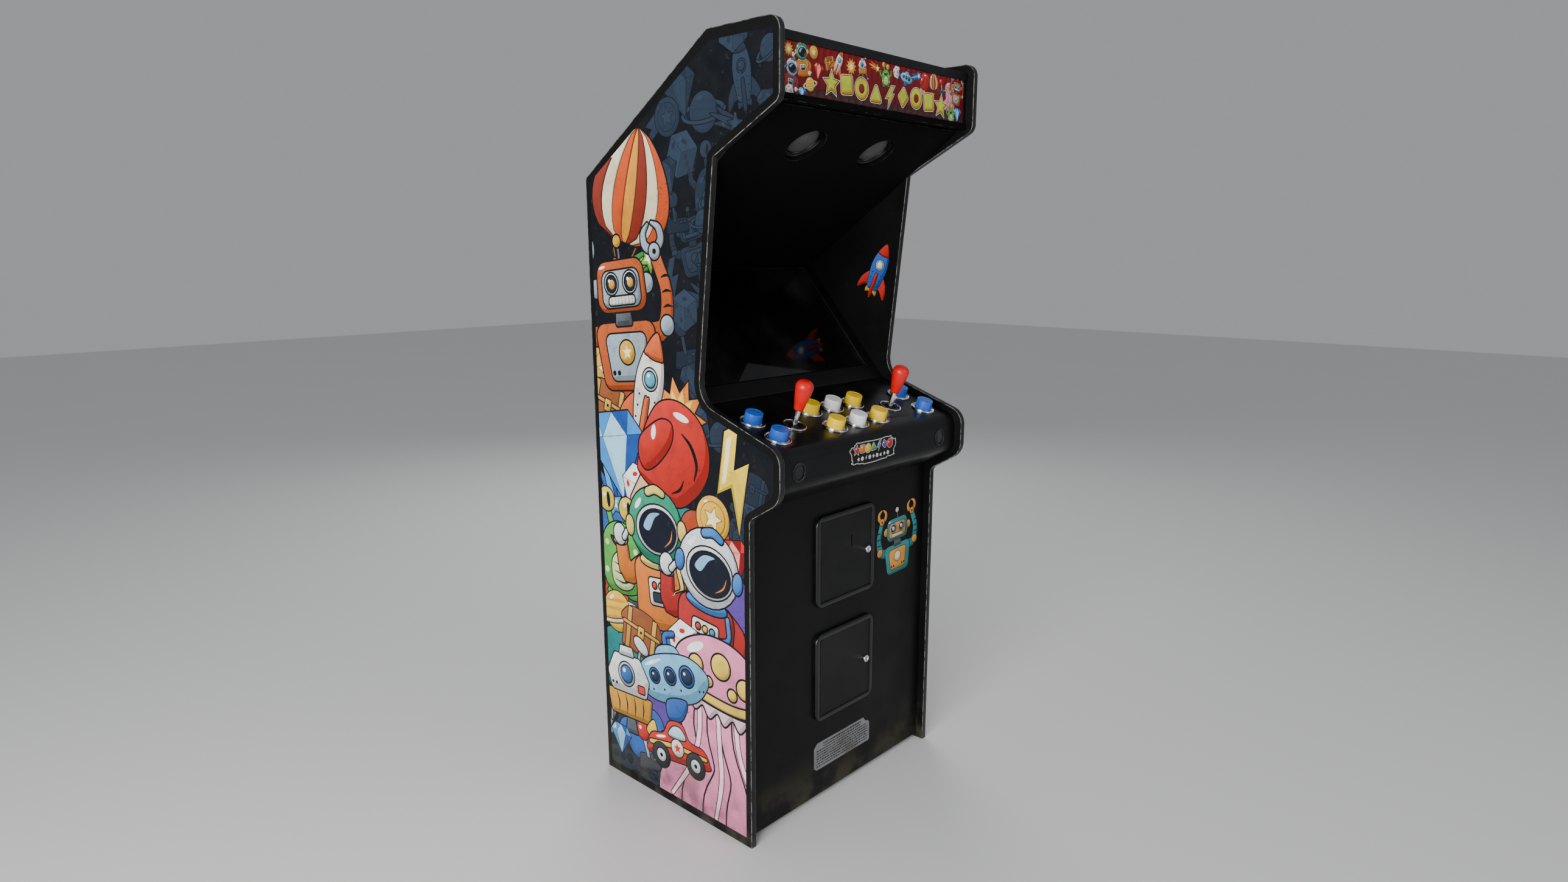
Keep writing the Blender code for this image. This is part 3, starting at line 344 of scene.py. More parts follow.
def add_grime(finish, top=0.16):
    """Brown dirt that thins out from the floor up."""
    low_down = finish.fade(finish.height(), 0.0, top, 1.0, 0.0)
    patches = finish.fade(finish.noise(16.0, 6.0), 0.38, 0.66)
    dirt = finish.math("MULTIPLY", low_down, patches)
    finish.tint(finish.math("MULTIPLY", dirt, 0.75), GRIME)
    finish.rougher(dirt, 0.30)


def add_scratches(finish, colour=(0.05, 0.05, 0.05), amount=0.22, scale=5.0):
    """Sparse hairline scratches in two directions."""
    for stretch in ((1.0, 1.0, 14.0), (14.0, 14.0, 1.0)):
        line = finish.fade(finish.cell_edges(scale, 0.10, stretch), 0.0, 0.006, 1.0, 0.0)
        here = finish.fade(finish.noise(9.0, 2.0), 0.56, 0.64)
        mark = finish.math("MULTIPLY", finish.math("MULTIPLY", line, here), amount)
        finish.tint(mark, colour)
        finish.rougher(mark, 0.25)


def add_smudges(finish, amount=0.12, scale=7.0):
    """Soft patches of wiped dust and fingerprints that change the gloss."""
    finish.rougher(finish.fade(finish.noise(scale, 5.0), 0.35, 0.70), amount)


def black_laminate(name="black_laminate", roughness=0.36, shine=0.13):
    """Black laminated board: fine texture, pale worn edges that double as painted highlights, wiped dust,
    hairline scratches and dirt near the floor.
    """
    finish = Finish(name, (0.0045, 0.0045, 0.0048), roughness)
    finish.constant("Specular IOR Level", shine)
    finish.tint(finish.fade(finish.noise(3.5, 5.0), 0.45, 0.85, 0.0, 0.5), (0.0080, 0.0080, 0.0082))
    # Pale edges on every arris: partly real wear, partly a painted highlight along the edge.
    worn_and_highlit_edges = finish.math("MULTIPLY", finish.arrises(0.0013),
                          finish.fade(finish.noise(45.0, 5.0), 0.46, 0.62))
    finish.tint(finish.math("MULTIPLY", worn_and_highlit_edges, 0.40), (0.20, 0.20, 0.19))
    add_smudges(finish, 0.16)
    add_scratches(finish)
    add_grime(finish)
    finish.bump(finish.noise(900.0, 2.0), 0.00006, 0.5)
    return finish.done()


def black_plastic(name="black_plastic", roughness=0.30, grain=0.00010, shine=0.20):
    """Moulded black plastic: leather grain, rubbed edges and faint mottling."""
    finish = Finish(name, (0.0030, 0.0030, 0.0036), roughness)
    finish.constant("Specular IOR Level", shine)
    finish.tint(finish.fade(finish.noise(5.0, 4.0), 0.45, 0.80, 0.0, 0.5), (0.011, 0.011, 0.012))
    rubbed = finish.math("MULTIPLY", finish.arrises(0.0010), finish.fade(finish.noise(60.0), 0.45, 0.65))
    finish.tint(finish.math("MULTIPLY", rubbed, 0.35), (0.16, 0.16, 0.16))
    add_smudges(finish, 0.14)
    finish.bump(finish.fade(finish.cell_edges(750.0, 0.3), 0.0, 0.25), grain, 0.6)
    return finish.done()


def edge_trim():
    """Black edge strip with both arrises worn pale."""
    finish = Finish("edge_trim", (0.006, 0.006, 0.007), 0.40)
    finish.constant("Specular IOR Level", 0.30)
    finish.tint(finish.fade(finish.noise(8.0, 4.0), 0.40, 0.80, 0.0, 0.6), (0.024, 0.024, 0.024))
    broken = finish.fade(finish.noise(70.0, 5.0), 0.40, 0.56, 0.15, 1.0)
    worn = finish.math("MULTIPLY", finish.arrises(0.0014), broken)
    finish.tint(finish.math("MULTIPLY", worn, 0.85), (0.42, 0.41, 0.38))
    finish.rougher(worn, 0.25)
    add_scratches(finish, (0.12, 0.12, 0.12), 0.4, 6.0)
    add_grime(finish, 0.10)
    finish.bump(finish.noise(420.0), 0.00008, 0.5)
    return finish.done()


def control_sheet():
    """The control panel's black film: semi-gloss, with wear from hands and faint scuffs."""
    finish = Finish("control_sheet", (0.0030, 0.0030, 0.0038), 0.27)
    finish.constant("Specular IOR Level", 0.24)
    finish.tint(finish.fade(finish.noise(6.0, 5.0), 0.45, 0.85, 0.0, 0.4), (0.012, 0.012, 0.014))
    add_smudges(finish, 0.18, 11.0)
    add_scratches(finish, (0.08, 0.08, 0.08), 0.20, 9.0)
    finish.bump(finish.noise(1200.0, 2.0), 0.00005, 0.5)
    return finish.done()


def smoked_glass():
    """Dark glass in front of a switched-off screen, with a thin haze of dust."""
    finish = Finish("screen_glass", (0.0022, 0.0022, 0.0026), 0.035)
    finish.constant("Specular IOR Level", 0.26)
    haze = finish.fade(finish.noise(4.0, 6.0), 0.40, 0.80)
    finish.tint(finish.math("MULTIPLY", haze, 0.14), DUST)
    specks = finish.fade(finish.cell_edges(160.0), 0.0, 0.02, 1.0, 0.0)
    finish.rougher(finish.math("MULTIPLY", haze, specks), 0.15)
    finish.rougher(haze, 0.05)
    return finish.done()


def metal(name, colour, roughness, brushed=(1.0, 1.0, 1.0), marks=0.10):
    """Bare or plated metal with fine marks, brushed along the axis that stretch leaves small."""
    finish = Finish(name, colour, roughness, 1.0)
    finish.tint(finish.fade(finish.noise(40.0, 4.0), 0.45, 0.75, 0.0, 0.35), tuple(c * 0.55 for c in colour))
    finish.rougher(finish.noise(260.0, 3.0, brushed), marks)
    finish.rougher(finish.fade(finish.noise(14.0, 5.0), 0.45, 0.75), marks)
    finish.bump(finish.noise(340.0, 2.0, brushed), 0.00003, 0.4)
    return finish.done()


def cap_plastic(name, colour, dark):
    """Glossy coloured button plastic with thumb wear, darker mottling and faint lines."""
    finish = Finish(name, colour, 0.26)
    finish.constant("Coat Weight", 0.25)
    finish.constant("Coat Roughness", 0.15)
    finish.constant("Subsurface Weight", 0.06)
    finish.constant("Subsurface Radius", (0.004, 0.003, 0.002))
    finish.tint(finish.fade(finish.noise(55.0, 5.0), 0.48, 0.78, 0.0, 0.45), dark)
    line = finish.fade(finish.cell_edges(90.0, 0.2, (1.0, 1.0, 0.15)), 0.0, 0.02, 1.0, 0.0)
    finish.tint(finish.math("MULTIPLY", line, 0.14), dark)
    add_smudges(finish, 0.16, 60.0)
    finish.bump(finish.noise(500.0, 2.0), 0.00005, 0.5)
    return finish.done()


def bat_lacquer():
    """Red lacquer with a soft sheen, slightly dulled where it is held."""
    finish = Finish("red_bat", (0.68, 0.003, 0.002), 0.32)
    finish.constant("Specular IOR Level", 0.35)
    finish.constant("Coat Weight", 0.20)
    finish.constant("Coat Roughness", 0.12)
    finish.tint(finish.fade(finish.noise(45.0, 5.0), 0.50, 0.80, 0.0, 0.5), (0.36, 0.008, 0.006))
    add_smudges(finish, 0.14, 50.0)
    finish.bump(finish.noise(300.0, 2.0), 0.00005, 0.4)
    return finish.done()


def bare_board():
    """Raw fibre board: warm brown with fine fibres and darker flecks."""
    finish = Finish("bare_board", (0.26, 0.17, 0.095), 0.75)
    finish.tint(finish.fade(finish.noise(220.0, 4.0, (1.0, 0.2, 1.0)), 0.45, 0.75), (0.15, 0.095, 0.05))
    finish.tint(finish.fade(finish.cell_edges(260.0), 0.0, 0.10, 0.6, 0.0), (0.34, 0.25, 0.15))
    finish.bump(finish.noise(500.0, 4.0), 0.0001, 0.7)
    return finish.done()


def circuit_board():
    """Green solder mask with copper tracks showing through and pale solder pads."""
    finish = Finish("circuit_board", (0.012, 0.085, 0.035), 0.35)
    tracks = finish.fade(finish.cell_edges(110.0, 0.0, (1.0, 1.0, 0.0)), 0.05, 0.08, 1.0, 0.0)
    finish.tint(tracks, (0.03, 0.19, 0.08))
    pads = finish.fade(finish.noise(700.0, 0.0), 0.70, 0.72)
    finish.tint(pads, (0.55, 0.52, 0.42))
    finish.bump(tracks, 0.00005, 0.5)
    return finish.done()


def lamp_glass():
    """White lamp diffuser with a faintly ribbed surface."""
    finish = Finish("lamp_white", (0.78, 0.78, 0.75), 0.35)
    ribs = finish.noise(120.0, 1.0, (8.0, 1.0, 1.0))
    finish.tint(finish.fade(ribs, 0.45, 0.75, 0.0, 0.4), (0.62, 0.61, 0.57))
    finish.bump(ribs, 0.0001, 0.5)
    return finish.done()


def speaker_rubber():
    """Dark speaker cone with a woven, slightly dusty face."""
    finish = Finish("speaker_cone", (0.050, 0.050, 0.053), 0.55)
    weave = finish.fade(finish.cell_edges(520.0), 0.0, 0.30)
    finish.tint(finish.math("MULTIPLY", finish.fade(finish.noise(30.0, 5.0), 0.45, 0.80), 0.35), DUST)
    finish.bump(weave, 0.00015, 0.8)
    return finish.done()


def printed_film(name, roughness, metallic=0.0, cracks=17.0):
    """Printed film under a satin laminate: its own colours, hairline cracks, scuffs and dust."""
    finish = Finish(name, (0.5, 0.5, 0.5), roughness, metallic)
    paint = finish.tree.nodes.new("ShaderNodeAttribute")
    paint.attribute_name = "paint"
    finish.colour = paint.outputs["Color"]
    finish.constant("Specular IOR Level", 0.20)
    soft = finish.fade(finish.noise(26.0, 6.0), 0.40, 0.85, 0.0, 0.30)
    finish.tint(soft, (0.020, 0.018, 0.016))
    rubbed = finish.fade(finish.noise(60.0, 6.0), 0.62, 0.74, 0.0, 0.05)
    finish.tint(rubbed, (0.45, 0.44, 0.42))
    crack = finish.fade(finish.cell_edges(cracks, 0.22), 0.0, 0.018, 1.0, 0.0)
    patchy = finish.fade(finish.noise(10.0, 3.0), 0.46, 0.58)
    marks = finish.math("MULTIPLY", crack, patchy)
    finish.tint(finish.math("MULTIPLY", marks, 0.70), (0.012, 0.011, 0.012))
    add_smudges(finish, 0.14)
    add_grime(finish, 0.20)
    finish.bump(marks, 0.0001, -0.5)
    finish.bump(finish.noise(700.0, 2.0), 0.00004, 0.4)
    return finish.done()


FINISHES = {
    "black_laminate": black_laminate(),
    "black_matte": black_laminate("black_matte", 0.85, 0.03),
    "bare_board": bare_board(),
    "edge_trim": edge_trim(),
    "black_plastic": black_plastic(),
    "control_sheet": control_sheet(),
    "screen_glass": smoked_glass(),
    "blue_cap": cap_plastic("blue_cap", (0.018, 0.115, 0.58), (0.012, 0.070, 0.38)),
    "yellow_cap": cap_plastic("yellow_cap", (1.0, 0.66, 0.002), (0.80, 0.50, 0.002)),
    "white_cap": cap_plastic("white_cap", (0.91, 0.91, 0.92), (0.74, 0.73, 0.72)),
    "red_bat": bat_lacquer(),
    "chrome": metal("chrome", (0.78, 0.78, 0.80), 0.10),
    "steel": metal("steel", (0.50, 0.50, 0.52), 0.26, (1.0, 8.0, 8.0)),
    "aluminium": metal("aluminium", (0.62, 0.62, 0.64), 0.32, (1.0, 10.0, 1.0)),
    "lamp_white": lamp_glass(),
    "circuit_board": circuit_board(),
    "sign_film": black_plastic("sign_backing", 0.35),
    "black_gloss": black_plastic("black_gloss", 0.14, 0.00003, 0.45),
    "speaker_cone": speaker_rubber(),
    "dark_mesh": metal("dark_mesh", (0.09, 0.09, 0.095), 0.40),
    "side_film": printed_film("side_film", 0.38),
    "marquee_film": printed_film("marquee_film", 0.30, cracks=40.0),
    "sticker_film": printed_film("sticker_film", 0.36, cracks=60.0),
    "label_foil": printed_film("label_foil", 0.45, 0.5),
}


def add_piece(name, shape, finish, place=Matrix.Identity(4), body="cabinet", replaces=(), sharp=35):
    """Make a piece from a bmesh in local coordinates, set it in place and let it ride on a body."""
    bmesh.ops.transform(shape, matrix=place, verts=shape.verts)
    bmesh.ops.recalc_face_normals(shape, faces=shape.faces)
    mesh = bpy.data.meshes.new(name)
    shape.to_mesh(mesh)
    shape.free()
    mesh.shade_smooth()
    mesh.set_sharp_from_angle(angle=math.radians(sharp))
    mesh.materials.append(FINISHES[finish])
    thing = bpy.data.objects.new(name, mesh)
    bpy.context.scene.collection.objects.link(thing)
    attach(thing, body)
    if replaces:
        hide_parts(*replaces)


# ---------------------------------------------------------------- flat artwork

INK = "#0a0c12"
GROUND = "#0a0e15"
GHOST_INK = "#04060a"
GHOST_DARK = "#0d121a"
GHOST_LIGHT = "#2b394b"
SHADE_SIDE = Vector((0.55, -0.83))
SHADOW, FADED, LIT = 0.45, 0.66, 0.02


def linear(code):
    """The linear colour of a hex code."""
    channels = [int(code[start:start + 2], 16) / 255 for start in (1, 3, 5)]
    return Vector([c / 12.92 if c <= 0.04045 else ((c + 0.055) / 1.055) ** 2.4 for c in channels])


def curve_through(points, closed=True, steps=6):
    """Points on a smooth curve through the given ones, which may carry a width as a third number."""
    knots = [Vector(point) for point in points]
    count = len(knots)
    if not closed:
        knots = [knots[0] * 2 - knots[1]] + knots + [knots[-1] * 2 - knots[-2]]
    curve = []
    for index in range(count if closed else count - 1):
        if closed:
            a, b, c, d = (knots[(index + shift) % count] for shift in (-1, 0, 1, 2))
        else:
            a, b, c, d = knots[index:index + 4]
        for step in range(steps):
            t = step / steps
            curve.append(0.5 * (b * 2 + (c - a) * t + (a * 2 - b * 5 + c * 4 - d) * t * t
                                + (b * 3 - a - c * 3 + d) * t * t * t))
    if not closed:
        curve.append(knots[-2])
    return curve


def turned_area(points):
    """Twice the area of a closed outline, below zero where it runs clockwise."""
    return sum(a.x * b.y - b.x * a.y for a, b in zip(points, points[1:] + points[:1]))


def mirrored(right):
    """A closed outline from its right half, which starts and ends on or near the middle line."""
    return right + [(-x, y) for x, y in reversed(right) if x]


class Artwork:
    """Flat shapes painted over each other, then cut into one flat layer with a colour on every face."""

    def __init__(self, outline=None, colour=GROUND):
        self.shapes = []
        self.die_cut = outline is None
        if outline:
            self.add(outline, linear(colour))

    def add(self, points, light, dark=None):
        """Paint a closed outline, from light at its upper left to dark, if given, at its lower right."""
        reach = [point.dot(SHADE_SIDE) for point in points]
        self.shapes.append((points, light, light if dark is None else dark, min(reach),
                            max(max(reach) - min(reach), 1e-6)))

    def faces(self):
        """Cut the layer into triangles: their points, and the top shape's index for each."""
        points = []
        rings = []
        for outline, *_ in self.shapes:
            rings.append(list(range(len(points), len(points) + len(outline))))
            points.extend(outline)
        corners, _, triangles, _, _, sources = delaunay_2d_cdt(points, [], rings, 1, 1e-6, True)
        kept = [(triangle, max(under)) for triangle, under in zip(triangles, sources)
                if under and (self.die_cut or 0 in under)]
        return corners, kept

    def colour_at(self, index, point):
        """The colour of one shape at one point."""
        _, light, dark, start, length = self.shapes[index]
        share = min(max((point.dot(SHADE_SIDE) - start) / length, 0.0), 1.0)
        return light.lerp(dark, share)

    def film(self, place, thickness):
        """The layer as a thin closed sheet with its front at local Z = thickness, and its colours."""
        corners, kept = self.faces()
        shape = bmesh.new()
        layer = shape.loops.layers.float_color.new("paint")
        front = [shape.verts.new((corner.x, corner.y, thickness)) for corner in corners]
        for triangle, index in kept:
            face = shape.faces.new([front[corner] for corner in triangle])
            for loop in face.loops:
                loop[layer] = (*self.colour_at(index, loop.vert.co.xy), 1.0)
        rim = [edge for edge in shape.edges if edge.is_boundary]
        extruded = bmesh.ops.extrude_edge_only(shape, edges=rim)
        lower = [item for item in extruded["geom"] if isinstance(item, bmesh.types.BMVert)]
        for vert in lower:
            vert.co.z = 0.0
        back_rim = [edge for edge in shape.edges if edge.is_boundary]
        bmesh.ops.triangle_fill(shape, use_beauty=False, edges=back_rim)
        loose = [vert for vert in shape.verts if not vert.link_faces]
        bmesh.ops.delete(shape, geom=loose, context="VERTS")
        bmesh.ops.transform(shape, matrix=place, verts=shape.verts)
        return shape


class Pen:
    """Draws the inked, shaded shapes of one motif, in the motif's own units."""

    def __init__(self, art, x, y, size, turn=0.0, line=0.0024, ghost=False):
        self.art = art
        self.origin = Vector((x, y))
        self.size = size
        self.turn = Matrix.Rotation(math.radians(turn), 2)
        self.line = line
        self.ghost = ghost

    def tone(self, colour, gain, lift=0.0):
        """A colour made darker or lighter; a ghost pen turns it into slate blue."""
        mixed = (linear(colour) * gain).lerp(Vector((1.0, 1.0, 1.0)), lift)
        if not self.ghost:
            return mixed
        strength = min(1.0, 0.10 + 0.9 * math.sqrt(sum(mixed) / 3))
        return linear(GHOST_DARK).lerp(linear(GHOST_LIGHT), strength)

    def placed(self, points):
        """The motif's points on the artwork, anticlockwise."""
        on_art = [self.origin + self.turn @ (Vector(point[:2]) * self.size) for point in points]
        return on_art if turned_area(on_art) >= 0 else on_art[::-1]

    def shape(self, points, colour, line=1.0, shade=0.07):
        """One closed outline with an ink line, a shadow on its lower right and a lit face."""
        placed = self.placed(points)
        if line:
            ink = linear(GHOST_INK) if self.ghost else self.tone(INK, 1.0)
            self.art.add(grown(placed, self.line * line), ink)
        self.art.add(placed, self.tone(colour, SHADOW if shade else 1.0))
        if shade:
            reach = shade * self.size
            lit = [point - normal.normalized() * reach * max(0.0, normal.dot(SHADE_SIDE))
                   for point, normal in zip(placed, outward(placed))]
            self.art.add(lit, self.tone(colour, 1.0, LIT), self.tone(colour, FADED))

    def disc(self, x, y, radius, colour, height=None, turn=0.0, **look):
        """An ellipse, round unless it is given its own height."""
        count = 14 if radius < 0.1 else 28
        tilt = Matrix.Rotation(math.radians(turn), 2)
        middle = Vector((x, y))
        angles = [2 * math.pi * step / count for step in range(count)]
        ring = [middle + tilt @ Vector((radius * math.cos(a),
                                        (height or radius) * math.sin(a))) for a in angles]
        self.shape(ring, colour, **look)

    def dot(self, x, y, radius, colour=INK, height=None, turn=0.0):
        """A plain ellipse with no line or shading."""
        self.disc(x, y, radius, colour, height, turn, line=0, shade=0)

    def blob(self, points, colour, **look):
        """A smooth closed shape through a few points."""
        self.shape(curve_through(points), colour, **look)

    def plate(self, points, colour, corner=0.06, **look):
        """A straight-sided shape with slightly rounded corners."""
        corners = [(x, y, corner) for x, y in points]
        self.shape(rounded(corners, arc_step=math.radians(22)), colour, **look)

    def panel(self, x, low, high, half_low, half_high, colour, corner=0.06, **look):
        """A plate centred on x, with its own half width along its low and its high edge."""
        self.plate([(x - half_low, low), (x + half_low, low), (x + half_high, high), (x - half_high, high)],
                   colour, corner, **look)

    def limb(self, points, colour, **look):
        """A thick line through (x, y, half width) points, with round ends."""
        spine = curve_through(points, closed=False, steps=4)
        sides = ([], [])
        for index, knot in enumerate(spine):
            along = (spine[min(index + 1, len(spine) - 1)] - spine[max(index - 1, 0)]).xy.normalized()
            across = Vector((-along.y, along.x)) * knot.z
            sides[0].append(knot.xy + across)
            sides[1].append(knot.xy - across)
        self.shape(sides[0] + self.cap(spine[-1], sides[0][-1], -1) + sides[1][::-1]
                   + self.cap(spine[0], sides[1][0], -1), colour, **look)

    def cap(self, middle, start, direction, steps=4):
        """Points of a half circle that rounds off a limb."""
        arm = start - middle.xy
        angles = [direction * math.pi * step / steps for step in range(1, steps)]
        return [middle.xy + Matrix.Rotation(a, 2) @ arm for a in angles]

    def star(self, x, y, outer, inner, count, colour, turn=0.0, **look):
        """A star with this many points."""
        ring = []
        for step in range(2 * count):
            angle = math.pi * step / count + math.pi / 2 + math.radians(turn)
            radius = inner if step % 2 else outer
            ring.append((x + radius * math.cos(angle), y + radius * math.sin(angle)))
        self.shape(ring, colour, **look)

    def stroke(self, points, width=0.02, colour=INK):
        """A thin tapered line with no outline of its own."""
        last = len(points) - 1
        widths = [width * (0.35 if index in (0, last) else 1.0) for index in range(last + 1)]
        self.limb([(x, y, w) for (x, y), w in zip(points, widths)], colour, line=0, shade=0)

    def halo(self, points, colour, width):
        """A plain band round an outline, painted before the shape itself."""
        self.art.add(grown(self.placed(points), width), linear(colour))

    def glint(self, x, y, radius, height=None, turn=0.0):
        """A pale highlight."""
        self.dot(x, y, radius, "#ffffff", height, turn)


# ---------------------------------------------------------------- motifs

def draw_lens(pen, x, y, radius, colour):
    """A round glass lens in a dark ring, as on a camera."""
    pen.disc(x, y, radius, "#d8dde0")
    pen.disc(x, y, radius * 0.74, "#1a2230", shade=0)
    pen.disc(x + radius * 0.05, y - radius * 0.05, radius * 0.46, colour, line=0, shade=0.03)
    pen.glint(x - radius * 0.28, y + radius * 0.30, radius * 0.17)


def draw_claw(pen, x, y, turn, colour):
    """A two-fingered gripper that opens away from (x, y)."""
    tilt = Matrix.Rotation(math.radians(turn), 2)
    for side in (-1, 1):
        finger = [(0.0, 0.0, 0.055), (side * 0.15, 0.10, 0.055), (side * 0.15, 0.25, 0.045),
                  (side * 0.04, 0.34, 0.02)]
        placed = [(*(Vector((x, y)) + tilt @ Vector(knot[:2])), knot[2]) for knot in finger]
        pen.limb(placed, colour, shade=0.03)
    pen.disc(x, y, 0.10, colour, shade=0.03)
    pen.dot(x, y, 0.035)


def draw_robot(pen, shell, plate, glow):
    """A stocky riveted robot with both arms raised."""
    for side in (-1, 1):
        pen.limb([(side * 0.42, -0.28, 0.13), (side * 0.78, -0.22, 0.12), (side * 0.88, 0.20, 0.10),
                  (side * 0.74, 0.62, 0.09)], shell)
        for height in (0.02, 0.20, 0.38):
            pen.stroke([(side * 0.80, height), (side * 0.88, height + 0.02), (side * 0.97, height)], 0.018)
        pen.disc(side * 0.84, -0.20, 0.12, plate)
        draw_claw(pen, side * 0.72, 0.70, side * 8, plate)
    pen.panel(0.0, -0.98, -0.12, 0.50, 0.62, shell, 0.16)
    pen.panel(0.0, -0.86, -0.26, 0.34, 0.42, plate, 0.10)
    pen.disc(0.0, -0.50, 0.15, glow)
    pen.star(0.0, -0.50, 0.10, 0.045, 5, "#fff3c4", line=0, shade=0)
    for x in (-0.30, -0.20, 0.20, 0.30):
        pen.dot(x, -0.76, 0.035)
    pen.panel(0.0, -0.16, 0.02, 0.17, 0.15, "#5b6068", 0.03)
    pen.limb([(0.0, 0.62, 0.022), (0.02, 0.74, 0.018), (0.0, 0.86, 0.018)], "#5b6068", shade=0)
    pen.disc(0.0, 0.90, 0.075, glow, shade=0.04)
    for side in (-1, 1):
        pen.disc(side * 0.52, 0.34, 0.12, plate)
    pen.panel(0.0, 0.02, 0.66, 0.50, 0.46, shell, 0.17)
    pen.panel(0.0, 0.08, 0.54, 0.39, 0.37, plate, 0.12)
    for side in (-1, 1):
        draw_lens(pen, side * 0.19, 0.38, 0.135, glow)
    pen.panel(0.0, 0.11, 0.21, 0.27, 0.25, "#e9e5d8", 0.04, shade=0.02)
    for step in range(-3, 4):
        pen.stroke([(step * 0.07, 0.115), (step * 0.07, 0.205)], 0.010)
    pen.glint(-0.36, 0.60, 0.07, 0.018, 8)


def draw_balloon(pen, stripes):
    """A striped hot-air balloon with its basket."""
    for side in (-1, 1):
        pen.limb([(side * 0.30, -0.42, 0.012), (side * 0.14, -0.78, 0.012)], "#7b5a33", shade=0)
    pen.panel(0.0, -1.0, -0.76, 0.17, 0.20, "#a8682c", 0.04)
    for height in (-0.93, -0.85):
        pen.stroke([(-0.18, height), (0.0, height - 0.01), (0.18, height)], 0.012)
    crown, base, widest = 1.0, -0.50, 0.80
    widths = [1.0, 0.72, 0.42, 0.13, -0.15, -0.44, -0.74, -1.0]
    rows = 14

    def edge_of(share):
        """One seam of the balloon, from its mouth to its crown."""
        seam = []
        for row in range(rows + 1):
            along = row / rows
            bulge = math.sin(math.pi * along ** 0.72) ** 0.62 if 0 < along < 1 else 0.0
            foot = 0.24 * (1 - along) ** 3
            seam.append((share * (widest * bulge * (1 - foot) + foot), base + (crown - base) * along))
        return seam

    pen.shape(edge_of(1.0) + edge_of(-1.0)[::-1], stripes[0])
    for index in range(len(widths) - 1):
        strip = edge_of(widths[index]) + edge_of(widths[index + 1])[::-1]
        pen.shape(strip, stripes[index % len(stripes)], line=0.5, shade=0.02)
    pen.glint(-0.42, 0.62, 0.13, 0.04, 50)


def draw_rocket(pen, body, fins, glass):
    """A plump rocket with swept fins and a flame."""
    pen.blob([(-0.20, -0.62), (0.20, -0.62), (0.24, -0.84), (0.08, -0.80), (0.0, -1.0), (-0.08, -0.80),
              (-0.24, -0.84)], "#f7a325")
    pen.blob([(-0.10, -0.62), (0.10, -0.62), (0.08, -0.76), (0.0, -0.86), (-0.08, -0.76)], "#fff0a8",
             line=0, shade=0)
    for side in (-1, 1):
        pen.blob([(side * 0.26, -0.10), (side * 0.56, -0.42), (side * 0.62, -0.84), (side * 0.36, -0.62),
                  (side * 0.20, -0.56)], fins)
    pen.blob(mirrored([(0.0, 1.0), (0.24, 0.62), (0.34, 0.10), (0.22, -0.62), (0.0, -0.66)]), body,
             shade=0.12)
    pen.blob(mirrored([(0.0, 1.0), (0.23, 0.64), (0.12, 0.58), (0.0, 0.565)]), fins)
    pen.disc(0.0, 0.22, 0.18, "#c9ced4")
    pen.disc(0.0, 0.22, 0.125, glass, shade=0.04)
    pen.glint(-0.05, 0.27, 0.035)
    pen.blob([(0.06, -0.16), (0.06, -0.86), (0.0, -0.94), (-0.06, -0.86), (-0.06, -0.16), (0.0, -0.10)],
             fins)
    for side in (-1, 1):
        for height in (-0.10, -0.30, -0.50):
            pen.dot(side * 0.20, height, 0.022)


def draw_glove(pen, leather, cuff):
    """A boxing glove thrown forward, with a laced cuff."""
    pen.plate([(-0.62, -1.0), (0.10, -1.0), (0.26, -0.42), (-0.52, -0.42)], cuff, 0.10)
    for height in (-0.88, -0.74, -0.60):
        pen.stroke([(-0.38, height), (-0.18, height + 0.05), (0.02, height - 0.01)], 0.022)
    pen.blob([(-0.56, -0.46), (0.24, -0.50), (0.56, -0.16), (0.66, 0.26), (0.52, 0.62), (0.20, 0.86),
              (-0.24, 0.88), (-0.58, 0.66), (-0.70, 0.22), (-0.66, -0.14)], leather, shade=0.16)
    pen.blob([(-0.66, -0.24), (-0.46, -0.34), (-0.26, -0.10), (-0.14, 0.28), (-0.22, 0.52), (-0.42, 0.50),
              (-0.60, 0.30), (-0.74, 0.02)], leather, shade=0.10)
    pen.stroke([(0.0, 0.52), (0.22, 0.46), (0.42, 0.28), (0.46, 0.06)], 0.028)
    pen.stroke([(0.14, -0.36), (0.26, -0.22), (0.28, -0.06)], 0.022)
    pen.glint(-0.10, 0.72, 0.16, 0.05, 10)
    pen.glint(-0.52, 0.24, 0.05, 0.11, 15)


def draw_gem(pen, light, middle, deep):
    """A cut gem with shaded facets."""
    left, top_left, top = (-0.86, 0.26), (-0.50, 0.72), (0.0, 0.72)
    right, top_right = (0.86, 0.26), (0.50, 0.72)
    inner_left, inner_right, tip = (-0.38, 0.26), (0.38, 0.26), (0.0, -0.96)
    pen.shape([top_left, top_right, right, tip, left], middle, shade=0)
    facets = [([top_left, left, inner_left], light), ([top_left, inner_left, top], middle),
              ([top, inner_left, inner_right], light), ([top, inner_right, top_right], deep),
              ([top_right, inner_right, right], middle), ([left, tip, inner_left], middle),
              ([inner_left, tip, inner_right], light), ([inner_right, tip, right], deep)]
    for corners, colour in facets:
        pen.shape(corners, colour, line=0.35, shade=0)
    pen.glint(-0.50, 0.46, 0.10, 0.03, 50)


def draw_comet(pen, head, tail):
    """A star with three tails streaming behind it."""
    for lift, length, colour in ((0.26, 1.0, tail), (-0.24, 0.9, tail), (0.0, 1.3, head)):
        pen.blob([(0.34, lift * 0.6 + 0.14), (-length * 0.5, lift + 0.12), (-length, lift * 1.5),
                  (-length * 0.5, lift - 0.10), (0.34, lift * 0.6 - 0.14)], colour, shade=0.05)
    pen.star(0.46, 0.0, 0.52, 0.25, 5, head, 18)
    pen.star(0.44, 0.02, 0.26, 0.13, 5, "#fff7d6", 18, line=0, shade=0)


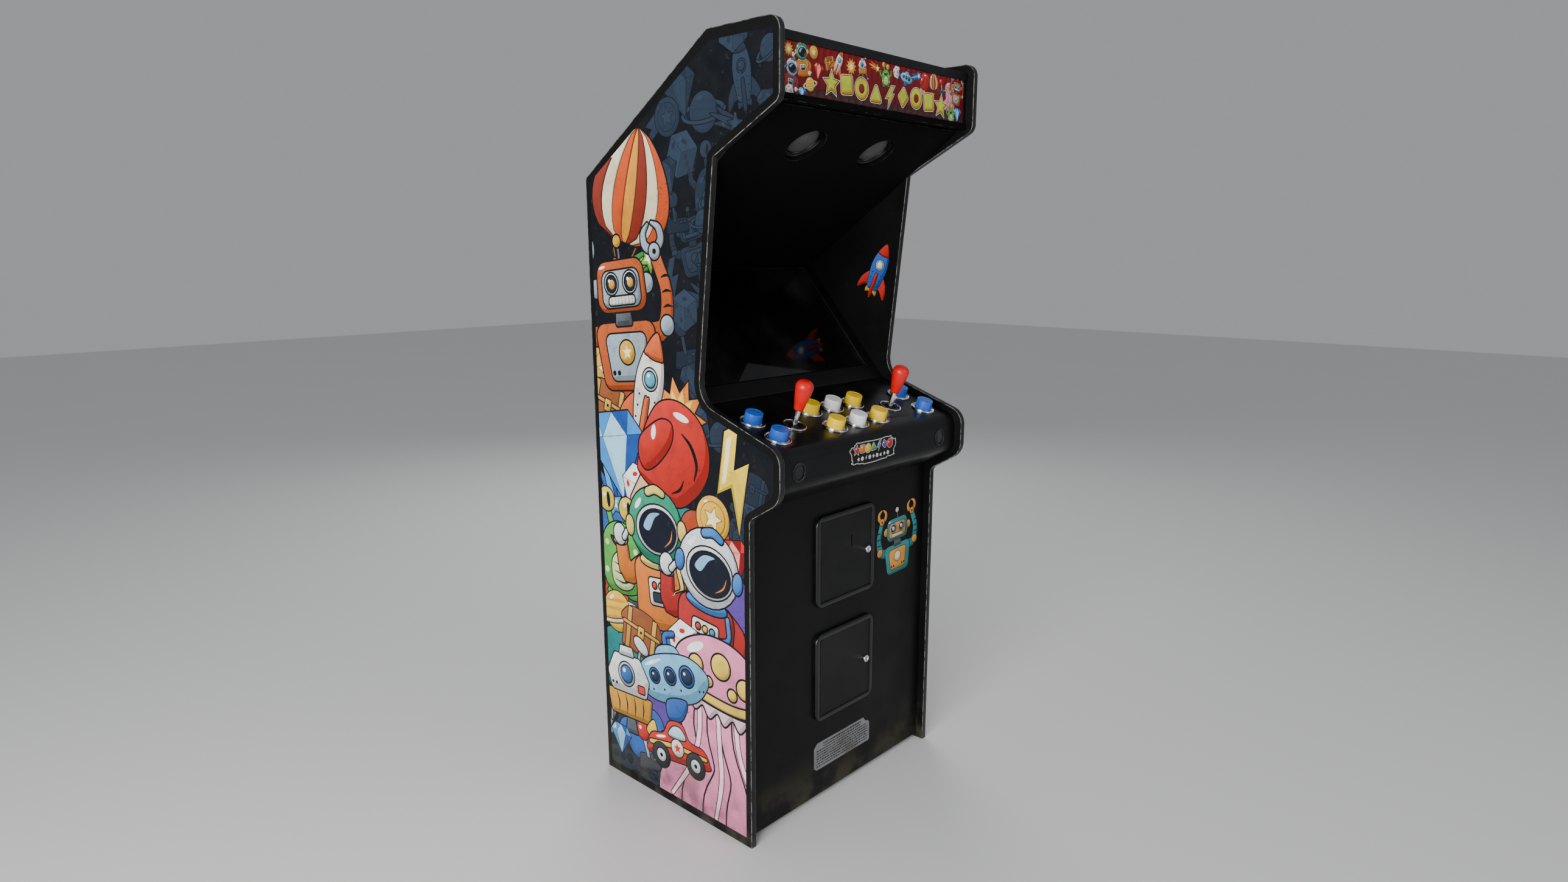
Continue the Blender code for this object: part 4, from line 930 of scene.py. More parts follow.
def draw_bolt(pen, colour):
    """A fat lightning bolt."""
    pen.shape([(0.20, 1.0), (-0.56, -0.06), (-0.12, -0.06), (-0.34, -1.0), (0.56, 0.22), (0.10, 0.22),
               (0.62, 1.0)], colour, line=1.3, shade=0.12)
    pen.shape([(0.20, 0.86), (-0.34, 0.08), (-0.22, 0.08), (0.36, 0.86)], "#fff6c2", line=0, shade=0)


def draw_astronaut(pen, helmet, suit, trim):
    """A space traveller from the waist up, with a mirrored visor and one hand raised."""
    pen.panel(0.0, -1.0, -0.06, 0.50, 0.42, "#7c828c", 0.14)
    for side in (-1, 1):
        pen.limb([(side * 0.34, -0.16, 0.15), (side * 0.66, -0.40, 0.15),
                  (side * 0.60, -0.78, 0.13)] if side > 0 else [(-0.34, -0.16, 0.15), (-0.74, -0.34, 0.15),
                                                                (-0.82, 0.10, 0.13)], suit, shade=0.09)
    pen.blob([(-0.44, -0.06), (0.44, -0.06), (0.54, -0.54), (0.46, -1.04), (-0.46, -1.04), (-0.54, -0.54)],
             suit, shade=0.12)
    pen.panel(0.0, -0.74, -0.34, 0.26, 0.26, "#e6e3da", 0.05)
    for x, colour in ((-0.14, "#d8362b"), (0.0, "#f2c230"), (0.14, "#3f8fd0")):
        pen.disc(x, -0.45, 0.045, colour, shade=0.02)
    pen.panel(0.0, -0.68, -0.56, 0.18, 0.18, "#27303d", 0.02, shade=0)
    pen.limb([(0.24, -0.54, 0.035), (0.46, -0.44, 0.035), (0.42, -0.16, 0.035)], trim, shade=0.02)
    for x, y in ((-0.84, 0.24), (0.58, -0.90)):
        pen.disc(x, y - 0.10, 0.15, trim, 0.06, shade=0.03)
        pen.disc(x, y, 0.14, "#eef0f0", 0.16, shade=0.06)
        pen.limb([(x + 0.10, y - 0.04, 0.045), (x + 0.18, y + 0.06, 0.04)], "#eef0f0", shade=0.03)
    pen.disc(0.0, -0.08, 0.40, trim, 0.12)
    pen.disc(0.0, 0.44, 0.58, helmet, 0.55, shade=0.14)
    pen.disc(0.03, 0.38, 0.45, "#d9dde2", 0.36, shade=0.04)
    pen.disc(0.04, 0.37, 0.39, "#0e1524", 0.30, shade=0)
    pen.blob([(-0.26, 0.42), (-0.10, 0.60), (0.12, 0.62), (0.0, 0.54), (-0.14, 0.36)], "#7fb6dd", line=0,
             shade=0)
    pen.blob([(0.16, 0.14), (0.32, 0.24), (0.36, 0.40), (0.30, 0.26)], "#d07a3a", line=0, shade=0)
    for side in (-1, 1):
        pen.disc(side * 0.57, 0.40, 0.09, trim, 0.15, shade=0.04)
    pen.limb([(-0.10, 0.92, 0.06), (0.06, 0.96, 0.06), (0.22, 0.90, 0.05)], trim, shade=0.02)
    pen.glint(-0.34, 0.74, 0.11, 0.04, 45)


def draw_alien(pen, skin, belly):
    """A round-bodied visitor with two uneven eye stalks."""
    for x, height in ((-0.26, 0.80), (0.30, 0.64)):
        pen.limb([(x * 0.6, 0.20, 0.07), (x, height - 0.14, 0.06)], skin, shade=0.03)
        pen.disc(x, height, 0.22, "#f4d34a", shade=0.04)
        pen.dot(x + 0.05, height - 0.01, 0.05, INK, 0.15)
        pen.glint(x - 0.06, height + 0.08, 0.04)
    for side in (-1, 1):
        pen.limb([(side * 0.46, -0.20, 0.10), (side * 0.74, -0.04, 0.09), (side * 0.80, 0.20, 0.08)], skin)
        for spread in (-0.10, 0.0, 0.10):
            pen.disc(side * 0.80 + spread, 0.30 - abs(spread) * 0.3, 0.06, skin, shade=0.03)
        pen.disc(side * 0.28, -0.92, 0.22, skin, 0.10)
    pen.blob(mirrored([(0.0, 0.40), (0.40, 0.22), (0.58, -0.30), (0.46, -0.82), (0.0, -0.94)]), skin,
             shade=0.16)
    pen.blob(mirrored([(0.0, -0.14), (0.28, -0.34), (0.28, -0.74), (0.0, -0.86)]), belly, shade=0.06)
    for height in (-0.36, -0.52, -0.68):
        pen.stroke([(-0.24, height), (0.0, height - 0.05), (0.24, height)], 0.016)
    pen.blob([(-0.24, 0.12), (0.0, 0.06), (0.24, 0.12), (0.12, -0.04), (-0.12, -0.04)], "#5c1430", shade=0)
    for x, y in ((-0.38, 0.0), (0.42, -0.12), (-0.46, -0.52), (0.46, -0.58)):
        pen.dot(x, y, 0.06, belly)


def draw_planet(pen, ball, stripe, ring):
    """A striped planet with a tilted ring."""
    tilt = 16
    pen.disc(0.0, 0.0, 1.02, ring, 0.34, tilt, shade=0.05)
    pen.disc(0.0, 0.0, 0.82, GROUND, 0.22, tilt, line=0.6, shade=0)
    pen.disc(0.0, 0.0, 0.64, ball, shade=0.14)
    for height, reach in ((0.32, 0.50), (0.06, 0.60), (-0.22, 0.56)):
        pen.limb([(-reach, height - 0.06, 0.02), (0.0, height + 0.02, 0.055), (reach, height + 0.10, 0.02)],
                 stripe, line=0, shade=0)
    front = [(1.0 * math.cos(a), -0.30 * math.sin(a),
              0.055) for a in [math.pi * step / 8 for step in range(9)]]
    turn = Matrix.Rotation(math.radians(tilt), 2)
    pen.limb([(*(turn @ Vector(knot[:2])), knot[2]) for knot in front], ring, shade=0.03)
    pen.glint(-0.26, 0.40, 0.13, 0.06, 35)


def draw_lander(pen, hull, foil):
    """A landing craft on four splayed legs, with a dish and a porthole."""
    for side in (-1, 1):
        pen.limb([(side * 0.34, -0.26, 0.045), (side * 0.66, -0.84, 0.035)], "#9aa1ab", shade=0.02)
        pen.limb([(side * 0.50, -0.30, 0.03), (side * 0.56, -0.66, 0.025)], "#9aa1ab", shade=0.02)
        pen.disc(side * 0.69, -0.90, 0.15, "#9aa1ab", 0.06, shade=0.02)
    pen.panel(0.0, -0.78, -0.42, 0.16, 0.09, "#5b616b", 0.03)
    pen.panel(0.0, -0.50, -0.06, 0.52, 0.60, foil, 0.04, shade=0.08)
    for x in (-0.36, -0.12, 0.12, 0.36):
        pen.stroke([(x, -0.10), (x * 0.92 + 0.03, -0.28), (x * 0.90, -0.46)], 0.016)
    pen.limb([(0.30, 0.52, 0.025), (0.40, 0.84, 0.02)], "#9aa1ab", shade=0)
    pen.disc(0.42, 0.88, 0.20, "#dfe3e8", 0.11, -35, shade=0.04)
    pen.plate([(-0.46, -0.06), (0.46, -0.06), (0.56, 0.26), (0.34, 0.62), (-0.34, 0.62), (-0.56, 0.26)],
              hull, 0.06, shade=0.14)
    pen.panel(0.0, 0.62, 0.78, 0.20, 0.16, hull, 0.03)
    pen.disc(-0.04, 0.28, 0.21, "#c2c8d0")
    pen.disc(-0.04, 0.28, 0.15, "#2f6fb4", shade=0.04)
    pen.glint(-0.10, 0.34, 0.04)
    pen.plate([(0.26, 0.02), (0.42, 0.02), (0.42, 0.14), (0.26, 0.14)], "#d8362b", 0.02, shade=0)
    for x in (-0.44, -0.34):
        pen.dot(x, 0.06, 0.03)
    pen.glint(-0.36, 0.50, 0.10, 0.03, 50)


def draw_cloud(pen, colour):
    """A bank of round puffs, for filling the space behind other motifs."""
    puffs = [(-0.66, -0.16, 0.34), (-0.30, 0.20, 0.40), (0.22, 0.26, 0.44), (0.66, -0.06, 0.36),
             (0.30, -0.34, 0.40), (-0.28, -0.34, 0.38)]
    for x, y, radius in puffs:
        pen.disc(x, y, radius, colour, shade=0.05)
    for x, y, radius in puffs:
        pen.dot(x * 0.8, y * 0.8, radius * 0.86, colour)
    for x, y, radius in puffs[:4]:
        pen.stroke([(x - radius * 0.5, y + radius * 0.1), (x, y + radius * 0.4),
                    (x + radius * 0.4, y + radius * 0.1)], 0.03, colour)


def draw_submarine(pen, hull, trim, glass):
    """A friendly little submarine with three portholes and a periscope."""
    pen.limb([(0.06, 0.36, 0.05), (0.06, 0.72, 0.05), (0.30, 0.76, 0.05)], trim, shade=0.03)
    pen.blob([(-0.28, 0.26), (0.34, 0.26), (0.26, 0.54), (-0.18, 0.54)], hull, shade=0.08)
    for side in (-1, 1):
        pen.blob([(-0.88, 0.0), (-1.14, side * 0.34), (-1.22, side * 0.30), (-1.10, side * 0.04)], trim)
    pen.disc(-0.96, 0.0, 0.10, trim)
    pen.blob([(-0.92, 0.0), (-0.62, 0.32), (0.0, 0.42), (0.62, 0.34), (0.98, 0.0), (0.62, -0.36),
              (0.0, -0.44), (-0.62, -0.34)], hull, shade=0.16)
    pen.blob([(-0.20, -0.38), (0.30, -0.40), (0.08, -0.72), (-0.26, -0.70)], trim)
    for x, radius in ((-0.42, 0.13), (0.0, 0.15), (0.44, 0.18)):
        pen.disc(x, 0.04, radius, trim)
        pen.disc(x, 0.04, radius * 0.68, glass, shade=0.03)
        pen.glint(x - radius * 0.25, 0.04 + radius * 0.28, radius * 0.16)
    for x in (-0.66, -0.52, -0.22, 0.22, 0.70, 0.80):
        pen.dot(x, -0.20, 0.022)
    pen.glint(-0.40, 0.28, 0.24, 0.035, 12)


def draw_car(pen, body, stripe):
    """A toy racing car seen from the side."""
    pen.blob([(-0.98, 0.20), (-0.70, 0.46), (-0.62, 0.16), (-0.80, 0.0)], stripe)
    pen.blob([(-0.98, -0.10), (-0.80, 0.16), (-0.40, 0.24), (-0.14, 0.54), (0.28, 0.54), (0.48, 0.20),
              (0.90, 0.10), (1.06, -0.16), (0.90, -0.34), (-0.86, -0.34)], body, shade=0.14)
    pen.blob([(-0.20, 0.22), (-0.04, 0.44), (0.22, 0.44), (0.34, 0.20)], "#bfe6f2", shade=0.05)
    pen.limb([(-0.88, -0.06, 0.05), (0.0, -0.02, 0.05), (0.96, -0.10, 0.04)], stripe, shade=0.02)
    pen.disc(0.04, -0.04, 0.20, "#f4f1e6")
    pen.star(0.04, -0.04, 0.13, 0.055, 5, body, line=0, shade=0)
    for x in (-0.56, 0.60):
        pen.disc(x, -0.32, 0.29, "#23262d", shade=0.06)
        pen.disc(x, -0.32, 0.15, "#d9dcdf", shade=0.04)
        pen.dot(x, -0.32, 0.05)
    pen.glint(-0.50, 0.13, 0.18, 0.035, 10)


def draw_jellyfish(pen, bell, frill, spots):
    """A big jellyfish: a domed bell, a ruffled hem and long flowing arms."""
    arms = [(-0.34, -0.30, -0.62), (-0.17, -0.05, -0.26), (0.0, 0.16, 0.06), (0.17, 0.40, 0.40),
            (0.32, 0.62, 0.74)]
    for start, middle, end in arms:
        pen.limb([(start, 0.40, 0.12), (start * 1.2, 0.0, 0.13), (middle, -0.40, 0.16), (end, -0.80, 0.20),
                  (end * 1.05, -1.12, 0.20)], bell, shade=0.07)
    for start, middle, end in arms[::2]:
        pen.limb([(start * 0.8, 0.30, 0.03), (start * 0.9 + 0.05, -0.10, 0.03), (middle - 0.06, -0.50, 0.03),
                  (end - 0.02, -0.98, 0.02)], frill, line=0.5, shade=0)
    hem = []
    for step in range(13):
        x = -0.66 + 1.32 * step / 12
        hem.append((x, 0.34 - 0.10 * math.cos(x * 2.2) - (0.10 if step % 2 else 0.0)))
    pen.blob(hem + [(0.60, 0.54), (0.0, 0.62), (-0.60, 0.54)], frill, shade=0.04)
    pen.blob([(-0.68, 0.40), (-0.62, 0.76), (-0.32, 0.98), (0.0, 1.04), (0.32, 0.98), (0.62, 0.76),
              (0.68, 0.40), (0.34, 0.32), (0.0, 0.30), (-0.34, 0.32)], bell, shade=0.14)
    pen.limb([(-0.62, 0.46, 0.045), (-0.30, 0.37, 0.045), (0.0, 0.35, 0.045), (0.30, 0.37, 0.045),
              (0.62, 0.46, 0.045)], spots, shade=0.02)
    dots = [(-0.34, 0.66, 0.10), (0.02, 0.76, 0.13), (0.36, 0.64, 0.10), (-0.14, 0.54, 0.05),
            (0.20, 0.52, 0.06)]
    for x, y, radius in dots:
        pen.disc(x, y, radius, spots, shade=0.03)
    pen.glint(-0.36, 0.84, 0.14, 0.05, 32)


def draw_chest(pen, wood, band):
    """A closed treasure chest."""
    pen.panel(0.0, -0.70, 0.10, 0.80, 0.80, wood, 0.05)
    pen.blob([(-0.82, 0.10), (-0.80, 0.48), (-0.40, 0.70), (0.40, 0.70), (0.80, 0.48), (0.82, 0.10)], wood,
             shade=0.08)
    for x in (-0.56, 0.56):
        pen.panel(x, -0.70, 0.64, 0.09, 0.09, band, 0.02, shade=0.03)
    pen.limb([(-0.80, 0.10, 0.05), (0.0, 0.10, 0.05), (0.80, 0.10, 0.05)], band, shade=0.02)
    pen.panel(0.0, -0.16, 0.20, 0.14, 0.14, "#e8b33a", 0.05)
    pen.dot(0.0, 0.02, 0.05)


def draw_token(pen, colour):
    """A plain round token with a star in it."""
    pen.disc(0.0, 0.0, 0.90, colour, shade=0.14)
    pen.disc(0.0, 0.0, 0.66, colour, line=0.6, shade=0.05)
    pen.star(0.0, 0.0, 0.48, 0.22, 5, "#fff2b8", line=0.6, shade=0)
    pen.glint(-0.52, 0.52, 0.12, 0.05, 40)


def draw_dice(pen, face, spot):
    """A die seen corner on."""
    pen.shape(mirrored([(0.0, 0.94), (0.80, 0.50), (0.80, -0.44), (0.0, -0.94)]), face, shade=0)
    pen.shape([(0.0, 0.94), (0.80, 0.50), (0.0, 0.08), (-0.80, 0.50)], "#ffffff", line=0.5, shade=0)
    pen.shape([(0.80, 0.50), (0.80, -0.44), (0.0, -0.94), (0.0, 0.08)], "#b9bcc4", line=0.5, shade=0)
    pen.dot(0.0, 0.50, 0.16, spot, 0.09)
    for x, y in ((-0.56, 0.18), (-0.24, -0.42), (0.24, -0.02), (0.42, -0.24), (0.60, -0.44)):
        pen.dot(x, y, 0.09, spot, 0.14)


def draw_lever(pen, ball, base):
    """A ball-topped lever on a box with two buttons."""
    pen.panel(0.0, -0.84, -0.26, 0.76, 0.60, base, 0.08)
    pen.limb([(-0.14, -0.34, 0.07), (-0.20, 0.40, 0.07)], "#c6cad0", shade=0.03)
    pen.disc(-0.20, 0.58, 0.34, ball, shade=0.10)
    pen.glint(-0.32, 0.70, 0.07)
    for x in (0.26, 0.48):
        pen.disc(x, -0.42, 0.09, "#f2c230", 0.06, shade=0.02)


def draw_burst(pen, colour, rim):
    """A many-pointed burst."""
    pen.star(0.0, 0.0, 1.0, 0.62, 11, rim, shade=0.04)
    pen.star(0.0, 0.0, 0.72, 0.44, 11, colour, 8, line=0, shade=0.04)
    pen.dot(0.0, 0.0, 0.26, "#fff6cc")


MOTIFS = {
    "rocket": (draw_rocket, "#f3efe4", "#e0642a", "#53b7d8"),
    "planet": (draw_planet, "#f5c93a", "#dd9422", "#f3ead0"),
    "token": (draw_token, "#f0b62e"),
    "alien": (draw_alien, "#59b548", "#dff0a4"),
    "gem": (draw_gem, "#a8dcf7", "#3d8fd8", "#1d4f9f"),
    "dice": (draw_dice, "#e9e9ee", "#c22b2b"),
    "robot": (draw_robot, "#c4571c", "#9fb2bd", "#f5b32a"),
    "comet": (draw_comet, "#f7b733", "#e4572e"),
    "lever": (draw_lever, "#d8322a", "#3a4250"),
    "bolt": (draw_bolt, "#ffd83a"),
    "balloon": (draw_balloon, ("#d8541c", "#f3e4c0", "#8f2d1a", "#f0a02f")),
    "glove": (draw_glove, "#cf2a1f", "#e8b98a"),
    "traveller_green": (draw_astronaut, "#1f9a72", "#e07a22", "#f4dc6a"),
    "traveller_pale": (draw_astronaut, "#dfe4e8", "#b3201c", "#3b7fd0"),
    "lander": (draw_lander, "#eef0f1", "#d99a2b"),
    "cloud_blue": (draw_cloud, "#2f5fae"),
    "cloud_rust": (draw_cloud, "#a8401f"),
    "cloud_violet": (draw_cloud, "#5b3f94"),
    "cloud_teal": (draw_cloud, "#1f7a78"),
    "submarine": (draw_submarine, "#79c4ec", "#2a62b4", "#12314f"),
    "car": (draw_car, "#d3271e", "#f6cf35"),
    "jellyfish": (draw_jellyfish, "#f08cb4", "#fbd0df", "#f7cf4d"),
    "chest": (draw_chest, "#9a5426", "#d9a441"),
    "comet_green": (draw_comet, "#7fc93a", "#2f8a3a"),
    "comet_blue": (draw_comet, "#5cb8f0", "#2257b8"),
    "gem_red": (draw_gem, "#ff9a8a", "#d3271e", "#7d1216"),
    "burst": (draw_burst, "#ffd65a", "#f08a24"),
    "helper": (draw_robot, "#1f8f94", "#f2a23c", "#f4e9c8"),
    "wall_rocket": (draw_rocket, "#2a66c8", "#d3271e", "#f4f6f8"),
}


def draw_named(pen, name):
    """Draw one of the motifs in its usual colours."""
    draw, *colours = MOTIFS[name]
    draw(pen, *colours)


# ---------------------------------------------------------------- the cabinet's artwork

GHOSTS = [(0.215, 1.700, 0.075, 8, "rocket"), (0.100, 1.640, 0.065, -12, "planet"),
          (0.255, 1.560, 0.070, 10, "token"), (0.120, 1.500, 0.080, -6, "alien"),
          (0.030, 1.690, 0.060, 14, "gem"), (0.030, 1.560, 0.055, -20, "dice"),
          (0.060, 1.380, 0.075, 12, "robot"), (0.100, 1.250, 0.060, -18, "comet"),
          (0.035, 1.160, 0.065, 10, "lever"), (0.090, 1.060, 0.055, -14, "token"),
          (-0.060, 1.620, 0.050, -15, "bolt"), (0.060, 0.980, 0.050, 12, "dice"),
          (0.140, 0.960, 0.055, 0, "planet"), (-0.010, 1.290, 0.050, 20, "bolt"),
          (0.010, 1.440, 0.050, 6, "lever"), (0.230, 0.790, 0.050, 10, "dice"),
          (0.180, 0.690, 0.050, -10, "token"), (-0.200, 0.780, 0.080, 14, "lever"),
          (-0.160, 0.520, 0.080, -8, "planet"), (-0.060, 0.500, 0.060, 8, "comet"),
          (-0.160, 0.160, 0.070, 0, "token"), (0.020, 0.090, 0.060, 14, "gem"),
          (-0.090, 0.080, 0.055, -8, "dice"), (0.160, 0.560, 0.060, 12, "comet"),
          (-0.260, 0.110, 0.060, 12, "bolt"), (0.190, 1.790, 0.050, 0, "dice"),
          (0.285, 1.640, 0.035, 0, "gem"), (0.175, 1.615, 0.045, -20, "comet"),
          (0.290, 1.740, 0.040, 15, "planet"), (-0.015, 1.640, 0.045, 8, "token"),
          (-0.020, 1.520, 0.045, 20, "gem"), (0.095, 1.420, 0.040, -10, "planet"),
          (0.030, 1.230, 0.050, 0, "dice"), (0.110, 1.330, 0.045, 10, "chest"),
          (0.050, 1.080, 0.045, 20, "gem"), (-0.250, 0.050, 0.070, 5, "submarine"),
          (-0.130, 0.045, 0.065, -8, "robot"), (-0.020, 0.045, 0.060, 12, "planet"),
          (0.080, 0.045, 0.050, 0, "token"), (0.235, 0.860, 0.050, -12, "chest"),
          (0.260, 0.760, 0.045, 8, "comet"), (0.190, 0.770, 0.050, 0, "alien"), ]


COLLAGE = [
    (-0.250, 1.070, 0.130, 10, "cloud_rust"), (-0.170, 0.930, 0.120, -20, "cloud_violet"),
    (-0.255, 0.720, 0.120, 30, "cloud_blue"), (-0.060, 0.740, 0.130, 0, "cloud_teal"),
    (0.080, 0.700, 0.120, -10, "cloud_rust"), (0.160, 0.560, 0.120, 10, "cloud_violet"),
    (-0.200, 0.500, 0.140, 0, "cloud_rust"), (0.020, 0.450, 0.150, 10, "cloud_blue"),
    (-0.230, 0.330, 0.130, 0, "cloud_teal"), (-0.060, 0.230, 0.150, 0, "cloud_violet"),
    (-0.150, 0.150, 0.110, 0, "cloud_blue"),
    (-0.115, 1.330, 0.070, 24, "comet_green"), (-0.155, 1.462, 0.172, -14, "balloon"),
    (-0.262, 1.075, 0.070, 12, "token"), (-0.262, 0.985, 0.085, -16, "chest"),
    (-0.188, 1.215, 0.185, 6, "robot"), (0.000, 0.985, 0.095, 10, "burst"),
    (-0.105, 1.035, 0.145, -16, "rocket"), (-0.262, 0.770, 0.070, -70, "comet_blue"),
    (-0.232, 0.880, 0.130, 10, "gem"), (-0.155, 0.800, 0.062, 15, "dice"),
    (-0.025, 0.870, 0.170, -24, "glove"), (0.110, 0.770, 0.060, -15, "token"),
    (0.180, 0.865, 0.112, 26, "bolt"), (0.178, 0.690, 0.060, 10, "gem_red"),
    (-0.150, 0.520, 0.075, -12, "lever"), (-0.232, 0.640, 0.140, 6, "alien"),
    (-0.085, 0.640, 0.170, 6, "traveller_green"), (0.180, 0.475, 0.062, 20, "token"),
    (0.085, 0.575, 0.170, -5, "traveller_pale"), (-0.252, 0.455, 0.085, 0, "planet"),
    (-0.160, 0.420, 0.085, -10, "chest"), (0.005, 0.440, 0.066, 14, "dice"),
    (-0.140, 0.118, 0.072, 14, "lever"), (0.112, 0.245, 0.232, -4, "jellyfish"),
    (-0.050, 0.335, 0.145, 16, "submarine"), (-0.215, 0.250, 0.150, 4, "lander"),
    (-0.035, 0.160, 0.112, 8, "car"), (-0.255, 0.105, 0.048, 0, "gem"),
]


def side_outline(inset):
    """The side's outline seen from its left, with X towards the front, moved in by inset."""
    outline = [Vector((-point.x, point.y)) for point in rounded(SIDE_CORNERS)][::-1]
    return grown(outline, -inset)


def side_artwork():
    """The collage on the cabinet's sides: bright motifs over a slate-blue crowd."""
    outline = [Vector((point.x, min(max(point.y, 0.022), HEIGHT - 0.024))) for point in side_outline(0.017)]
    art = Artwork(outline, GROUND)
    for x, y, size, turn, name in GHOSTS:
        draw_named(Pen(art, x, y, size, turn, 0.0014, ghost=True), name)
    for x, y, size, turn, name in COLLAGE:
        draw_named(Pen(art, x, y, size, turn, 0.0016 + 0.014 * size), name)
    return art


FILM_THICKNESS = 0.0003
FILM_GAP = 0.00005


def make_side_films():
    """The printed film on both sides; the right one mirrors the left one."""
    art = side_artwork()
    for side, name in ((-1, "left"), (1, "right")):
        face_x = max(abs(corner.x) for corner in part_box(f"side_panel_{name}"))
        place = upright((side, 0.0, 0.0), side * (face_x + FILM_GAP), 0.0, 0.0)
        if side > 0:
            place = place @ Matrix.Scale(-1.0, 4, (1.0, 0.0, 0.0))
        add_piece(f"side_art_{name}", art.film(place, FILM_THICKNESS), "side_film")


MARQUEE_CROWD = [(-0.302, 0.032, 0.015, 10, "burst"), (-0.228, 0.036, 0.014, 0, "token"),
                 (-0.262, 0.020, 0.031, 8, "traveller_green"), (-0.212, 0.004, 0.018, -10, "gem_red"),
                 (-0.238, -0.026, 0.021, 0, "planet"), (-0.294, -0.012, 0.029, -8, "traveller_pale"),
                 (-0.178, 0.022, 0.019, 14, "chest"), (-0.150, 0.026, 0.029, -28, "rocket"),
                 (-0.108, 0.024, 0.018, 20, "burst"), (-0.070, 0.027, 0.024, 6, "lander"),
                 (-0.026, 0.034, 0.018, -12, "comet"), (0.012, 0.024, 0.025, 4, "alien"),
                 (0.052, 0.034, 0.015, 20, "dice"), (0.088, 0.026, 0.024, -10, "submarine"),
                 (0.128, 0.034, 0.019, 14, "comet_blue"), (0.160, 0.022, 0.026, -12, "glove"),
                 (0.196, 0.026, 0.025, 6, "balloon"), (0.232, 0.024, 0.020, 10, "lever"),
                 (0.262, 0.008, 0.028, -6, "jellyfish"), (0.294, 0.020, 0.032, -6, "robot"),
                 (0.272, -0.030, 0.023, 8, "alien"), (0.300, -0.030, 0.018, 0, "gem"),
                 (-0.262, -0.044, 0.013, 0, "gem"), (-0.300, -0.044, 0.014, 10, "dice"), ]


def title_shapes():
    """Nine plain, fat symbols that stand where a sign has its title."""
    circle = [(math.cos(a), math.sin(a)) for a in [2 * math.pi * step / 28 for step in range(28)]]
    star = []
    for step in range(10):
        angle = math.pi / 2 + math.pi * step / 5
        radius = 0.52 if step % 2 else 1.10
        star.append((radius * math.cos(angle), radius * math.sin(angle)))
    square = rounded([(-0.85, -0.85, 0.2), (0.85, -0.85, 0.2), (0.85, 0.85, 0.2), (-0.85, 0.85, 0.2)])
    triangle = rounded([(-0.98, -0.80, 0.2), (0.98, -0.80, 0.2), (0.0, 1.0, 0.2)])
    diamond = rounded([(0.0, -1.0, 0.12), (0.85, 0.0, 0.12), (0.0, 1.0, 0.12), (-0.85, 0.0, 0.12)])
    bolt = [(0.30, 1.0), (-0.60, -0.10), (-0.10, -0.10), (-0.30, -1.0), (0.60, 0.20), (0.10, 0.20),
            (0.75, 1.0)]
    return [star, square, circle, triangle, bolt, diamond, circle, square, star]


def draw_symbol(pen, points, colour, hollow):
    """One fat symbol with a pale band, a dark line and a bright face."""
    pen.halo(points, "#f2f0e2", pen.line * 3.4)
    pen.halo(points, "#1a1208", pen.line * 1.9)
    pen.shape(points, colour, line=1.0, shade=0.22)
    pen.shape([(x * 0.72, y * 0.72 + 0.12) for x, y in points], "#b9d23a", line=0, shade=0)
    if hollow:
        pen.shape([(x * 0.42, y * 0.42) for x, y in points], "#8f1018", line=1.0, shade=0.05)


def marquee_artwork(half_width, half_height):
    """The sign: a dark red ground, a lively crowd and a row of golden symbols."""
    corners = [(-half_width, -half_height), (half_width, -half_height), (half_width, half_height),
               (-half_width, half_height)]
    art = Artwork([Vector(corner) for corner in corners], "#6a0910")
    for step in range(-16, 17):
        x = step * 0.020
        stripe = [(x, -half_height), (x + 0.010, -half_height), (x + 0.022, half_height),
                  (x + 0.012, half_height)]
        art.add([Vector(point) for point in stripe], linear("#8c0e18"), linear("#3d060b"))
    for x in range(-13, 14):
        pen = Pen(art, x * 0.025, -half_height - 0.002, 0.017, 0, 0.0008)
        pen.disc(0.0, 0.0, 1.0, "#31060a", line=1.5, shade=0.1)
        pen.disc(0.0, 0.0, 0.60, "#52090f", line=1.0, shade=0.1)
    for x, y, size, turn, name in MARQUEE_CROWD:
        draw_named(Pen(art, x, y, size, turn, 0.0006), name)
    for index, points in enumerate(title_shapes()):
        sway = 0.004 * math.sin(index * 1.3)
        pen = Pen(art, -0.172 + index * 0.050, -0.017 + sway, 0.0215, 5 * math.sin(index * 2.1), 0.0008)
        draw_symbol(pen, points, "#f0c52a", index in (2, 6))
    return art


def make_marquee():
    """The printed sign between its two retainers."""
    low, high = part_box("marquee_panel")
    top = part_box("marquee_retainer_top")[0].z
    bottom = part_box("marquee_retainer_bottom")[1].z
    half_height = (top - bottom) / 2 - 0.0005
    place = upright(FRONTWARDS, 0.0, low.y - FILM_GAP, (top + bottom) / 2)
    shape = marquee_artwork(high.x - 0.013, half_height).film(place, 0.0002)
    add_piece("marquee_art", shape, "marquee_film")


